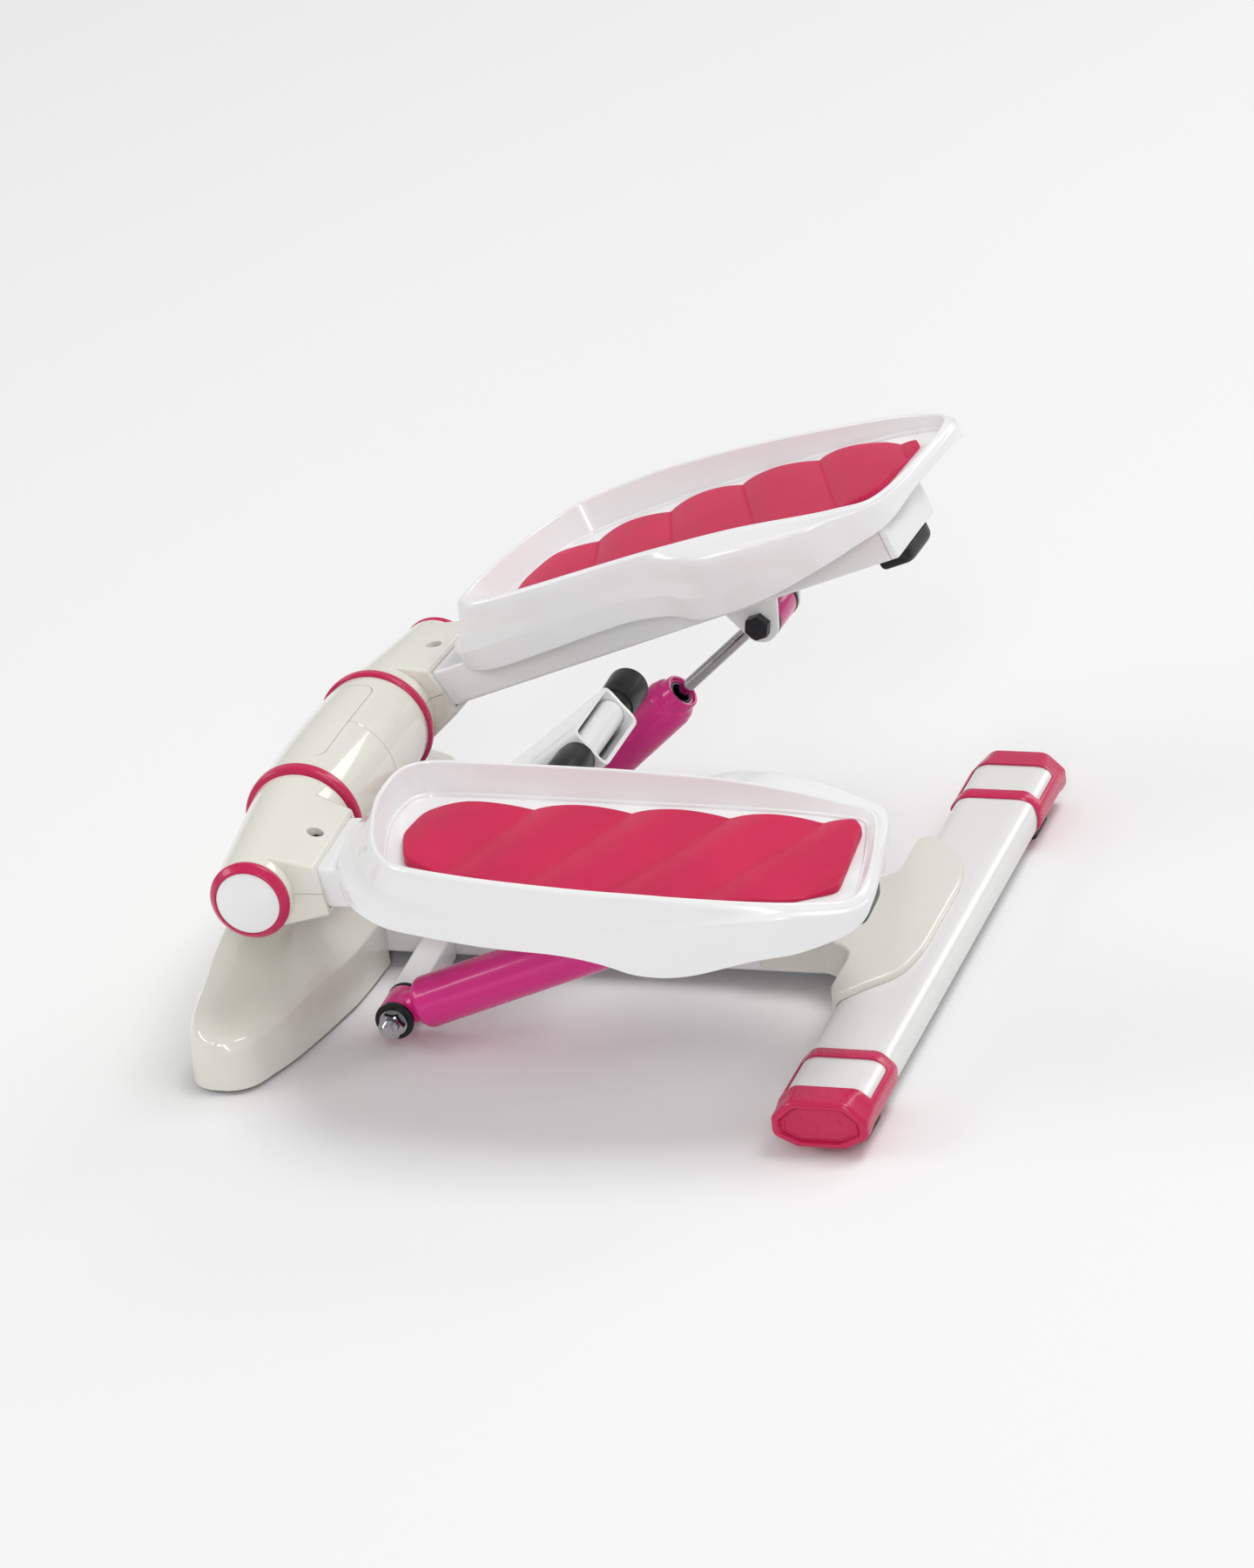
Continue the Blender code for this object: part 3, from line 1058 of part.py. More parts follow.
# Centre post
def make_centre_post(root):
    slope = math.tan(POST_ANGLE)
    upper = Vector((POST_TOP_Y, POST_TOP_Z))
    lower = upper - Vector((math.sin(POST_ANGLE), math.cos(POST_ANGLE))) * POST_DEPTH
    floor = BEAM_TOP + TOUCH_GAP
    foot_rear = lower.x + (lower.y - floor) / slope
    foot_top = upper.y - (POST_FRONT_Y - upper.x) * slope
    outline = ((upper.x, upper.y), (POST_FRONT_Y, foot_top), (POST_FRONT_Y, floor), (foot_rear, floor),
               (lower.x, lower.y))
    post = put("centre_post", loft([along_x(outline, x) for x in (-POST_HALF_WIDTH, POST_HALF_WIDTH)]),
               "white_paint", root)
    bevel = post.modifiers.new("corners", "BEVEL")
    bevel.width = POST_CORNER
    bevel.segments = 2
    bevel.limit_method = "WEIGHT"
    mark_long_edges(post)
    width = POST_HALF_WIDTH - POST_WALL
    half = POST_DEPTH / 2 - POST_WALL
    stops = (-0.01, POST_HOLLOW)
    loops = []
    for stop in stops:
        centre = POST_MOUTH + POST_AXIS * stop
        section = rectangle(-width, width, -half, half, POST_CORNER - POST_WALL, 2)
        loops.append([centre + Vector((u, 0, 0)) + POST_NORMAL * v for u, v in section])
    combine(post, put_cutter("post_hollow", loft(loops), root), "DIFFERENCE")
    ends = (-POST_HALF_WIDTH - 0.01, POST_HALF_WIDTH + 0.01)
    gap = SHAFT_RADIUS + RUNNING_GAP
    hole = loft([ring(SHAFT_CENTRE + Vector((x, 0, 0)), (1, 0, 0), gap, 24) for x in ends])
    combine(post, put_cutter("post_hole", hole, root), "DIFFERENCE")


def mark_long_edges(post):
    """Round only the four edges that run along the post."""
    weights = post.data.attributes.new("bevel_weight_edge", "FLOAT", "EDGE")
    for edge in post.data.edges:
        first, second = (post.data.vertices[index].co for index in edge.vertices)
        way = (second - first).normalized()
        if abs(abs(way.dot(POST_AXIS)) - 1) < 1e-3:
            weights.data[edge.index].value = 1.0


def make_cross_shaft(root):
    ends = (-SHAFT_HALF_LENGTH, SHAFT_HALF_LENGTH)
    shaft = loft([ring(SHAFT_CENTRE + Vector((x, 0, 0)), (1, 0, 0), SHAFT_RADIUS, 24) for x in ends])
    put("cross_shaft", shaft, "white_paint", root)
    bore = SHAFT_RADIUS + TOUCH_GAP
    start = POST_HALF_WIDTH + TOUCH_GAP
    step = start + SLEEVE_COLLAR_LENGTH
    profile = ((start, bore), (start, SLEEVE_COLLAR_RADIUS), (step, SLEEVE_COLLAR_RADIUS),
               (step, SLEEVE_RADIUS), (SLEEVE_OUTER_X, SLEEVE_END_RADIUS), (SLEEVE_OUTER_X, bore))
    for name, side in SIDES.items():
        mesh = turned(profile, SHAFT_CENTRE, (side, 0, 0), 20)
        put(f"shaft_sleeve_{name}", mesh, "black_rubber", root)


def make_pedal(name, side, root):
    hub = (side * HUB_X, HUB_Y, AXIS_Z)
    frame = make_frame(f"pedal_axis_{name}", hub, side * SPLAY, REST_PITCH[name], root)
    make_hub_tube(name, side, frame)
    make_hub_covers(name, side, frame)
    make_hub_end(name, side, frame)
    make_arm(name, side, frame)
    make_tray(name, side, frame)
    make_pad(name, side, frame)
    make_lug(name, side, frame)
    make_damper(name, side, root, frame)
    make_carrier(name, side, root)


def main():
    clear_scene()
    root = make_frame("machine", (0, -MIDDLE_Y, 0))
    make_rear_bar(root)
    make_rear_caps(root)
    make_centre_beam(root)
    make_rear_cover(root)
    room = make_front_cover(root)
    make_front_frame(root)
    make_drum(root, room)
    make_drum_rings(root)
    make_axle(root)
    make_link_rocker(root)
    make_centre_post(root)
    make_cross_shaft(root)
    for name, side in SIDES.items():
        make_pedal(name, side, root)


main()
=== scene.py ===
# The looks of a stair stepper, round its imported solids: finer meshes, finishes, light and camera.
# Metres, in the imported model's own frame. +X is the rider's right, +Y points to the drum, +Z is up.
import json
import math

import bmesh
import bpy
from mathutils import Matrix, Vector

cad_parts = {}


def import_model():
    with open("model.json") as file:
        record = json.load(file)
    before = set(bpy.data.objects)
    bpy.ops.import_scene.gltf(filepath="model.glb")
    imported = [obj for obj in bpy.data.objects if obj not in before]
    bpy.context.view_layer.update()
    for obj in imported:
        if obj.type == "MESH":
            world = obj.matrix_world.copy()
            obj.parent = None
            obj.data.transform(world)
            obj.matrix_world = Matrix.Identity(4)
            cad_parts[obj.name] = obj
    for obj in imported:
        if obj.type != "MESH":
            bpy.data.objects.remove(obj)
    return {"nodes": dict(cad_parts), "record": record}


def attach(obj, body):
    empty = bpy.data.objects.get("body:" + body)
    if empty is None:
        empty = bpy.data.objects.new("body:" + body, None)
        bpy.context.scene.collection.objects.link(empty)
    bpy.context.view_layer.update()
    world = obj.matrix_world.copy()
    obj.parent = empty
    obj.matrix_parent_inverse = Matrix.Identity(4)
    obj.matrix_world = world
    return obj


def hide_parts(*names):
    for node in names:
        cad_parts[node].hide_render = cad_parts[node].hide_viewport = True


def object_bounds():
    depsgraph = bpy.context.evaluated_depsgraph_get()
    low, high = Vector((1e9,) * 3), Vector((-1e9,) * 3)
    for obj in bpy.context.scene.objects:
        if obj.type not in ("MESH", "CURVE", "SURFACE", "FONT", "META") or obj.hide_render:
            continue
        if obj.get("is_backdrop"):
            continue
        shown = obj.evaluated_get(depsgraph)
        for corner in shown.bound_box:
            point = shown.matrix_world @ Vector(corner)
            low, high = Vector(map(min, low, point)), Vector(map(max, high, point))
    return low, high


# Clearances
TOUCH_GAP = 0.0003
RUNNING_GAP = 0.00025
# How far a cutter runs past what it cuts, closely and amply
BEYOND = 0.002
CUT_MARGIN = 0.010
SIDES = {"left": -1, "right": 1}

# Widths of rounded edges, and how far the end edge of a turned piece is cut back
HAIR_EDGE = 0.0002
FINE_EDGE = 0.0003
SMALL_EDGE = 0.0004
EDGE = 0.0005
FULL_EDGE = 0.0006
END_DROP = 0.0006
SMOOTH_ANGLE = math.radians(32)
BEVEL_ANGLE = math.radians(35)
# Points round a large, a middling and a small circle
ROUND = 96
MIDDLE_ROUND = 72
SMALL_ROUND = 48
# The share of a side that a rounded corner may take, and the sharpest corner in radians
CORNER_SHARE = 0.49
FILLET_SHARE = 0.45
SHARPEST = 0.02
# Step along an outline that is softened
SOFT_STEP = 0.0012

# Pedal pivots
HUB_X = 0.1124
HUB_Y = 0.3363
AXIS_Z = 0.109
SPLAY = math.radians(2.6)
REST_PITCH = {"left": 0.0, "right": math.radians(21.2)}

# Rear bar and its end caps
BAR_HALF_LENGTH = 0.200
BAR_HALF_WIDTH = 0.0252
BAR_HALF_HEIGHT = 0.0125
BAR_CORNER = 0.0122
BAR_WALL = 0.002
BAR_Z = 0.0195
CAP_INNER_X = 0.1535
CAP_OUTER_X = 0.2165
CAP_HALF_WIDTH = 0.0270
CAP_TOP = 0.0334
CAP_BOTTOM = 0.0055
CAP_BOTTOM_HALF = 0.0195
CAP_KNEE_DROP = 0.004
CAP_END_ROUND = 0.003
CAP_CHAMFER = 0.0085
CAP_SOFTENING = 0.0050
CAP_SHOULDER = 0.0100
CAP_BELLY = 0.0080
# The same corners at the cap's end, where they are cut further
END_CHAMFER = 0.0108
END_BOTTOM_HALF = 0.0135
END_KNEE = 0.0125
# How much of an inset the bottom corners and the chamfers follow
CAP_BOTTOM_SHARE = 0.6
CAP_CORNER_SHARE = 0.4
# The cap's inner lip as (distance from its edge, inset), and how its corners are cut past the bar's end
CAP_LIP = ((0.0, 0.0014), (0.0004, 0.0005), (0.0014, 0.0), (0.0077, 0.0))
CAP_TAPER = ((TOUCH_GAP, 0.0), (0.003, 0.4), (0.007, 0.9))
WINDOW_INNER_X = 0.1632
WINDOW_OUTER_X = 0.1975
WINDOW_SILL_Z = 0.0270
WINDOW_CORNER = 0.003
# The recess in the cap's end face, with a raised bead and three dots on its floor
RECESS_SHARE = 0.84
RECESS_SQUASH = 0.88
RECESS_DEPTH = 0.0022
RECESS_X = CAP_OUTER_X - RECESS_DEPTH
RECESS_DRAFT = 0.05
RECESS_FLARE = 0.02
RECESS_PAST = 0.0004
BEAD_SHARE = 0.77
BEAD_WIDTH = 0.05
BEAD_RISE = 0.0005
BEAD_ROOT = 0.0002
DOT_RADIUS = 0.0011
DOT_PROFILE = ((-BEAD_ROOT, DOT_RADIUS), (0.0003, DOT_RADIUS), (0.0004, DOT_RADIUS / 2))
DOT_PLACES = ((-0.011, 0.0215), (0.010, 0.0225), (0.001, 0.0170))
FOOT_HALF_WIDTH = 0.0195
FOOT_INNER_X = 0.166
FOOT_OUTER_X = 0.196
FOOT_CORNER = 0.004

# Centre beam and the cover where it meets the rear bar
BEAM_HALF_WIDTH = 0.030
BEAM_BOTTOM = 0.0095
BEAM_TOP = 0.0335
BEAM_CORNER = 0.004
BEAM_WALL = 0.002
COVER_WALL = 0.0027
COVER_BOTTOM = 0.014
COVER_NECK_Y = 0.088
# Half of the cover's outline from its rear edge to its tip and along the beam: x, y, corner radius
COVER_OUTLINE = (
    (0.0400, -0.0108, 0.030),
    (0.0680, -0.0060, 0.030),
    (0.0860, 0.0110, 0.020),
    (0.0970, 0.0180, 0.004),
    (0.0955, 0.0282, 0.003),
)
COVER_FILLET_X = 0.014
COVER_FILLET_Y = 0.0282
COVER_NECK_START = 0.050
COVER_BEAM_ROOM_Y = 0.010
COVER_NECK_ROUND = 0.014
COVER_NECK_CORNER = 0.003
COVER_EDGE = 0.0020
COVER_SOFTENING = 0.007

# Front stand
STAND_FRONT_Y = 0.380
STAND_BOTTOM = 0.003
# Its side view between two feet: share of the depth and a shift, share of the rise from crease to ridge
# and a lift, corner radius
STAND_SIDE = ((0.0, 0.001, 0.0, -0.004, 0.004), (0.0, 0.005, 0.0, 0.0, 0.006), (0.45, 0.0, 0.55, 0.0, 0.020),
              (0.68, 0.0, 1.0, 0.0, 0.012), (0.86, 0.0, 1.0, -0.0015, 0.008),
              (0.97, 0.0, 1.0, -0.010, 0.006))
STAND_WALL = 0.0025
UPRIGHT_HALF_WIDTH = 0.020
UPRIGHT_HALF_DEPTH = 0.010
UPRIGHT_CORNER = 0.002
STAND_STEPS = 5
# Each station of the stand's cover: distance from the middle, rear edge, front edge,
# height of the crease above the rear wall, and height of the ridge
STAND_STATIONS = (
    (0.000, 0.3110, 0.3800, 0.035, 0.0725),
    (0.070, 0.3125, 0.3800, 0.036, 0.0725),
    (0.100, 0.3165, 0.3800, 0.037, 0.0710),
    (0.125, 0.3210, 0.3800, 0.037, 0.0640),
    (0.147, 0.3260, 0.3800, 0.035, 0.0530),
    (0.165, 0.3320, 0.3800, 0.033, 0.0440),
    (0.178, 0.3370, 0.3755, 0.032, 0.0390),
    (0.185, 0.3435, 0.3690, 0.031, 0.0350),
    (0.188, 0.3510, 0.3615, 0.030, 0.0330),
)

# Drum with its panel and rings, and the axle
DRUM_HALF_LENGTH = 0.061
DRUM_END_RADIUS = 0.0322
DRUM_MID_RADIUS = 0.0340
DRUM_BORE = 0.0290
PANEL_HALF_LENGTH = 0.046
PANEL_REAR_ANGLE = math.radians(-15)
PANEL_FRONT_ANGLE = math.radians(62)
PANEL_FLOOR = 0.0310
PANEL_CORNER = 0.007
PANEL_STEPS = 40
DRUM_STEPS = 12
DRUM_GROOVE = 0.0006
DRUM_GROOVE_DEPTH = 0.0005
DRUM_GROOVE_EDGE = 0.0004
RING_RADIUS = 0.0314
RING_BORE = 0.0222
RING_SWELL = 0.0018
RING_TAPER = 0.0006
RING_LIP = 0.0032
RING_SEAT = 0.0002
RING_HUB_GAP = 0.0006
RING_STEPS = 16
AXLE_RADIUS = 0.008
AXLE_HEAD_RADIUS = 0.011

# Pedal hub, in the pedal's own directions: a runs to the heel, b outwards and c up
HUB_HALF_LENGTH = 0.0463
HUB_INNER_RADIUS = 0.0307
HUB_OUTER_RADIUS = 0.0225
HUB_COVER_WALL = 0.0026
COLLAR_IN_B = -0.0340
COLLAR_OUT_B = 0.0395
COLLAR_WALL = 0.0032
COLLAR_TOP_A = 0.0355
COLLAR_BOTTOM_A = 0.0415
COLLAR_ROUND = 0.0030
COLLAR_CORNER = 0.0015
COLLAR_STOPS = (-0.02, -0.01, 0.0, 0.01, 0.02)
# The mouth starts this far under the cone, so that no sliver stands out
TANGENT_DROP = 0.0004
MOUTH_START_A = 0.008
# Beyond everything on the hub, for cutters
HUB_CLEAR = 0.07
HUB_END_WALL = 0.0055
HEAD_ROOM = 0.0015
SPLIT_GAP = 0.0003
SCREW_A = 0.026
SCREW_B = 0.003
SCREW_HOLE_RADIUS = 0.0047
SCREW_PROFILE = ((0.0, 0.002), (0.0, 0.0040), (0.0022, 0.0040), (0.0036, 0.0022), (0.0039, 0.0004))
CROSS_LENGTH = 0.0044
CROSS_WIDTH = 0.0011
CROSS_DEPTH = 0.0020
END_RING_LENGTH = 0.0066
END_RING_SLACK = 0.002
END_RING_RADIUS = 0.0224
# Its side from the hub: distance along, swell, corner radius; then its brow, back from the front face,
# outside the dome
END_RING_SIDE = ((0.0, 0.0002, 0.0004), (0.0026, 0.0008, 0.004))
END_RING_BROW = (0.0004, 0.0016, 0.0010)
DOME_RADIUS = 0.0182
DOME_RISE = 0.0034
DOME_SEAT = 0.0025
DOME_FULLNESS = 2.4
DOME_STEPS = 12

# Pedal arm
ARM_IN_B = -0.0301
ARM_OUT_B = 0.0355
ARM_BOTTOM = -0.0105
ARM_TOP = 0.0134
ARM_FRONT_A = 0.0164
ARM_REAR_A = 0.3365
ARM_WALL = 0.002
ARM_CORNER = 0.003
ARM_LEAST_CORNER = 0.0008
PLUG_THICKNESS = 0.0045
PLUG_INSERT = 0.010
# Its side from the arm's end outwards: distance along, inset
PLUG_SIDE = ((0.0, 0.0003), (0.0003, 0.0), (PLUG_THICKNESS - 0.0012, 0.0),
             (PLUG_THICKNESS - 0.0004, 0.0004), (PLUG_THICKNESS, 0.0013))
BUMPER_FRONT_A = 0.320
BUMPER_REAR_A = 0.3440
BUMPER_DEPTH = 0.009
# The rubber ends short of its full length and width by this much
BUMPER_SHY = 0.0025
BUMPER_IN_B = -0.020
BUMPER_OUT_B = 0.026
# Its section shrinks to this share at its two sides
BUMPER_END_SHARE = 0.45
BUMPER_STEPS = 24

# Foot tray and pad. The floor falls towards the heel.
FLOOR_TOE_A = 0.080
FLOOR_TOE_HEIGHT = 0.0275
FLOOR_HEEL_A = 0.335
FLOOR_HEEL_HEIGHT = 0.0210
FLOOR_THICKNESS = 0.0030
TRAY_WALL = 0.0028
# The tray's outline, toe first and round the inner side: a, b, height of the rim, then reach and
# height of the shoulder, of the crease and of the skirt's edge. Reaches are outwards from the rim.
TRAY_STATIONS = (
    (0.0655, 0.0060, 0.0460, 0.0010, 0.0410, 0.0190, 0.0215, 0.0175, 0.0110),
    (0.0675, -0.0200, 0.0468, 0.0010, 0.0418, 0.0150, 0.0215, 0.0135, 0.0098),
    (0.0745, -0.0315, 0.0470, 0.0008, 0.0420, 0.0090, 0.0212, 0.0080, 0.0075),
    (0.0880, -0.0372, 0.0468, 0.0005, 0.0418, 0.0025, 0.0208, 0.0022, 0.0055),
    (0.1200, -0.0385, 0.0455, 0.0005, 0.0405, 0.0015, 0.0205, 0.0015, 0.0060),
    (0.1700, -0.0385, 0.0440, 0.0005, 0.0390, 0.0015, 0.0205, 0.0015, 0.0068),
    (0.2000, -0.0382, 0.0428, 0.0010, 0.0380, 0.0035, 0.0170, 0.0035, 0.0030),
    (0.2190, -0.0380, 0.0416, 0.0070, 0.0350, 0.0110, 0.0120, 0.0110, -0.0020),
    (0.2390, -0.0380, 0.0403, 0.0170, 0.0338, 0.0175, 0.0120, 0.0165, -0.0020),
    (0.2590, -0.0375, 0.0384, 0.0210, 0.0345, 0.0205, 0.0135, 0.0180, -0.0015),
    (0.2780, -0.0370, 0.0358, 0.0215, 0.0333, 0.0205, 0.0165, 0.0175, 0.0005),
    (0.3010, -0.0355, 0.0320, 0.0175, 0.0305, 0.0170, 0.0205, 0.0155, 0.0040),
    (0.3180, -0.0330, 0.0292, 0.0120, 0.0282, 0.0120, 0.0235, 0.0110, 0.0065),
    (0.3395, -0.0262, 0.0262, 0.0060, 0.0250, 0.0060, 0.0220, 0.0055, 0.0100),
    (0.3490, 0.0080, 0.0250, 0.0015, 0.0225, 0.0020, 0.0200, 0.0020, 0.0142),
    (0.3555, 0.0600, 0.0265, 0.0010, 0.0240, 0.0020, 0.0215, 0.0020, 0.0160),
    (0.3500, 0.0840, 0.0280, 0.0010, 0.0255, 0.0035, 0.0235, 0.0035, 0.0115),
    (0.3250, 0.0960, 0.0312, 0.0010, 0.0290, 0.0045, 0.0265, 0.0055, 0.0050),
    (0.3000, 0.1020, 0.0340, 0.0010, 0.0310, 0.0045, 0.0255, 0.0065, 0.0024),
    (0.2650, 0.1065, 0.0375, 0.0010, 0.0335, 0.0040, 0.0225, 0.0070, -0.0050),
    (0.2400, 0.1085, 0.0400, 0.0010, 0.0350, 0.0040, 0.0210, 0.0070, -0.0045),
    (0.2180, 0.1098, 0.0418, 0.0010, 0.0370, 0.0035, 0.0200, 0.0065, 0.0025),
    (0.1950, 0.1100, 0.0436, 0.0010, 0.0390, 0.0035, 0.0200, 0.0060, 0.0068),
    (0.1550, 0.1078, 0.0462, 0.0010, 0.0410, 0.0035, 0.0205, 0.0050, 0.0085),
    (0.1160, 0.0995, 0.0470, 0.0010, 0.0420, 0.0050, 0.0215, 0.0060, 0.0105),
    (0.0960, 0.0900, 0.0465, 0.0010, 0.0415, 0.0095, 0.0215, 0.0100, 0.0125),
    (0.0800, 0.0660, 0.0460, 0.0010, 0.0410, 0.0165, 0.0215, 0.0165, 0.0130),
    (0.0705, 0.0350, 0.0460, 0.0010, 0.0410, 0.0205, 0.0215, 0.0200, 0.0125),
)
# Between shoulder and crease the wall is hollow: its share of the reach and of the drop there
WAIST_REACH = 0.35
WAIST_DROP = 0.60
RIM_INNER_INSET = 0.0035
RIM_OUTER_INSET = 0.0010
RIM_EDGE_DROP = 0.0014
SHOULDER_DROP = 0.0030
STEP_HEIGHT = 0.0018
STEP_LEAN = 0.0005
STEP_TREAD = 0.0013
LEDGE_INSET = 0.0082
FLOOR_WALL_INSET = 0.0040
RIM_HOLLOW = 0.0008
HEM_LIFT = 0.0004
# Corner radii of the tray's section
LEDGE_ROUND = 0.0006
STEP_ROUND = 0.0009
RIM_FOOT_ROUND = 0.0022
RIM_INNER_ROUND = 0.0008
RIM_OUTER_ROUND = 0.0016
RIM_DROP_ROUND = 0.0030
WALL_TOP_ROUND = 0.0060
WAIST_ROUND = 0.020
HEM_ROUND = 0.0008
HEM_TIP_ROUND = 0.0010
INSIDE_ROUND = 0.002
INSIDE_WAIST_ROUND = 0.004
CREASE_ROUND = 0.0028
CREASE_SWELL = 0.1
TRAY_FINE = 7
# The section's first points, up to the step's tread, follow the floor's slope
FLOOR_LAYERS = 15
RAIL_START_A = 0.075
RAIL_END_A = 0.338
RAIL_THICKNESS = 0.003
RAIL_INSET = 0.006
# The pad's outline, a and b, with the radius of each corner
PAD_OUTLINE = (
    (0.0880, -0.0060, 0.014),
    (0.1080, -0.0155, 0.030),
    (0.2000, -0.0175, 0.080),
    (0.3305, -0.0165, 0.004),
    (0.3360, -0.0070, 0.006),
    (0.3390, 0.0620, 0.008),
    (0.3120, 0.0785, 0.020),
    (0.2700, 0.0905, 0.060),
    (0.2000, 0.0900, 0.080),
    (0.1350, 0.0740, 0.060),
    (0.0950, 0.0570, 0.015),
    (0.0850, 0.0250, 0.030),
)
PAD_SOFTENING = 0.0055
PAD_ROUND = 0.0011
PAD_LONG = 150
PAD_WIDE = 56
# Where the pad's four sides meet, from the toe's inner corner round by the heel
PAD_CORNERS = ((0.0905, -0.0070), (0.3345, -0.0130), (0.3375, 0.0655), (0.0935, 0.0540))
# Where the pad's valleys meet its inner and outer edges, and the form of the waves between them
VALLEYS_IN = (0.0300, 0.0880, 0.1485, 0.2037, 0.2599, 0.3124, 0.3660, 0.4200)
VALLEYS_OUT = (0.0060, 0.0560, 0.1130, 0.1610, 0.2100, 0.2620, 0.3140, 0.3660)
VALLEY_B_IN = -0.016
VALLEY_B_OUT = 0.088
WAVE_LOW = 0.0012
WAVE_HIGH = 0.0054
WAVE_LEAN = 0.88
WAVE_FULLNESS = 0.85

# Damper and its mountings
UPPER_EYE_A = 0.238
UPPER_EYE_C = -0.0245
LOWER_EYE_A = 0.0610
LOWER_EYE_C = -0.0925
BODY_RADIUS = 0.015
BODY_TOP = 0.1498
BODY_NECK_RADIUS = 0.0108
BODY_NECK_LENGTH = 0.006
BODY_STEP = 0.0015
BODY_CHAMFER = 0.005
BODY_START = 0.0132
BODY_START_RADIUS = 0.0130
BODY_SHOULDER = 0.0155
BODY_STEM_RADIUS = 0.0095
BODY_BORE = 0.0074
BORE_START = 0.062
GLAND_RADIUS = 0.0092
GLAND_DEPTH = 0.0016
SEAL_DEPTH = 0.030
SEAL_DROP = 0.0018
SEAL_WALL = 0.0015
ROD_RADIUS = 0.0038
ROD_LENGTH = 0.100
ROD_COLLAR_RADIUS = 0.0058
EYE_RADIUS = 0.011
EYE_BORE = 0.0080
EYE_CORE = 0.001
LOWER_EYE_HALF = 0.010
UPPER_EYE_HALF = 0.0132
FLANGE_RUBBER = 0.0027
LOWER_RUBBER = 0.0112
SPOOL_EDGE = 0.0007
WASHER_THICKNESS = 0.0015
LOWER_WASHER = 0.0080
THREAD_LENGTH = 0.006
THREAD_PITCH = 0.0010
THREAD_CUT = 0.0005
THREAD_END_DROP = 0.0008
STUD_CORE_RADIUS = 0.0044
CARRIER_SEAT = 0.0025
SPACER_WALL = 0.003
UPPER_FLANGE_RADIUS = 0.0112
STUD_RADIUS = 0.005
BOLT_RADIUS = 0.004
BOLT_OVERLAP = 0.001
LUG_INNER_HALF = 0.0170
LUG_PLATE = 0.003
LUG_ROUND = 0.0112
LUG_TOP_HALF = 0.018
LUG_ROOF = 0.0035
LUG_ROOF_GAP = 0.0012
LUG_STEPS = 24
NUT_HALF = 0.0066
NUT_HEIGHT = 0.0058
NUT_CHAMFER = 0.0012
# The nut's cone starts clear of its corners and ends just past its flats
NUT_CLEAR_SHARE = 1.3
NUT_FACE_SHARE = 1.0137
CARRIER_HALF = 0.0085
CARRIER_CORNER = 0.002

# Centre post with its cross shaft
POST_HALF_WIDTH = 0.030
POST_ANGLE = math.radians(39)
POST_TOP_Y = 0.1840
POST_TOP_Z = 0.1560
POST_DEPTH = 0.028
POST_FRONT_Y = 0.3085
POST_WALL = 0.0025
POST_HOLLOW = 0.085
POST_CORNER = 0.006
# The long skin of the post runs past its foot, where the block cuts it
POST_PAST = 0.05
# The weld along the post's foot: a bead with a slow ripple
WELD_RADIUS = 0.0022
WELD_RIPPLE = 0.0003
WELD_PACE = 1.9
WELD_SQUASH = 0.9
WELD_STEPS = 60
WELD_ROUND = 16
SHAFT_RADIUS = 0.0085
SHAFT_INSET = 0.0095
SHAFT_HALF_LENGTH = 0.0648
SLEEVE_RADIUS = 0.0113
SLEEVE_END_RADIUS = 0.0121
SLEEVE_COLLAR_RADIUS = 0.0103
SLEEVE_COLLAR_LENGTH = 0.006
SLEEVE_OUTER_X = 0.0635
SLEEVE_EDGE = 0.0010

# Derived places
DRUM_Y = HUB_Y + (HUB_X - DRUM_HALF_LENGTH) * math.tan(SPLAY)
MIDDLE_Y = (STAND_FRONT_Y - CAP_HALF_WIDTH) / 2
POST_AXIS = Vector((0, math.cos(POST_ANGLE), -math.sin(POST_ANGLE)))
POST_NORMAL = Vector((0, math.sin(POST_ANGLE), math.cos(POST_ANGLE)))
POST_MOUTH = Vector((0, POST_TOP_Y, POST_TOP_Z)) - POST_NORMAL * (POST_DEPTH / 2)
SHAFT_CENTRE = POST_MOUTH + POST_AXIS * SHAFT_INSET
DRUM_CENTRE = Vector((0, DRUM_Y, AXIS_Z))
HUB_PLACE = {name: Vector((side * HUB_X, HUB_Y, AXIS_Z)) for name, side in SIDES.items()}
WORLD = Matrix.Translation((0, -MIDDLE_Y, 0))

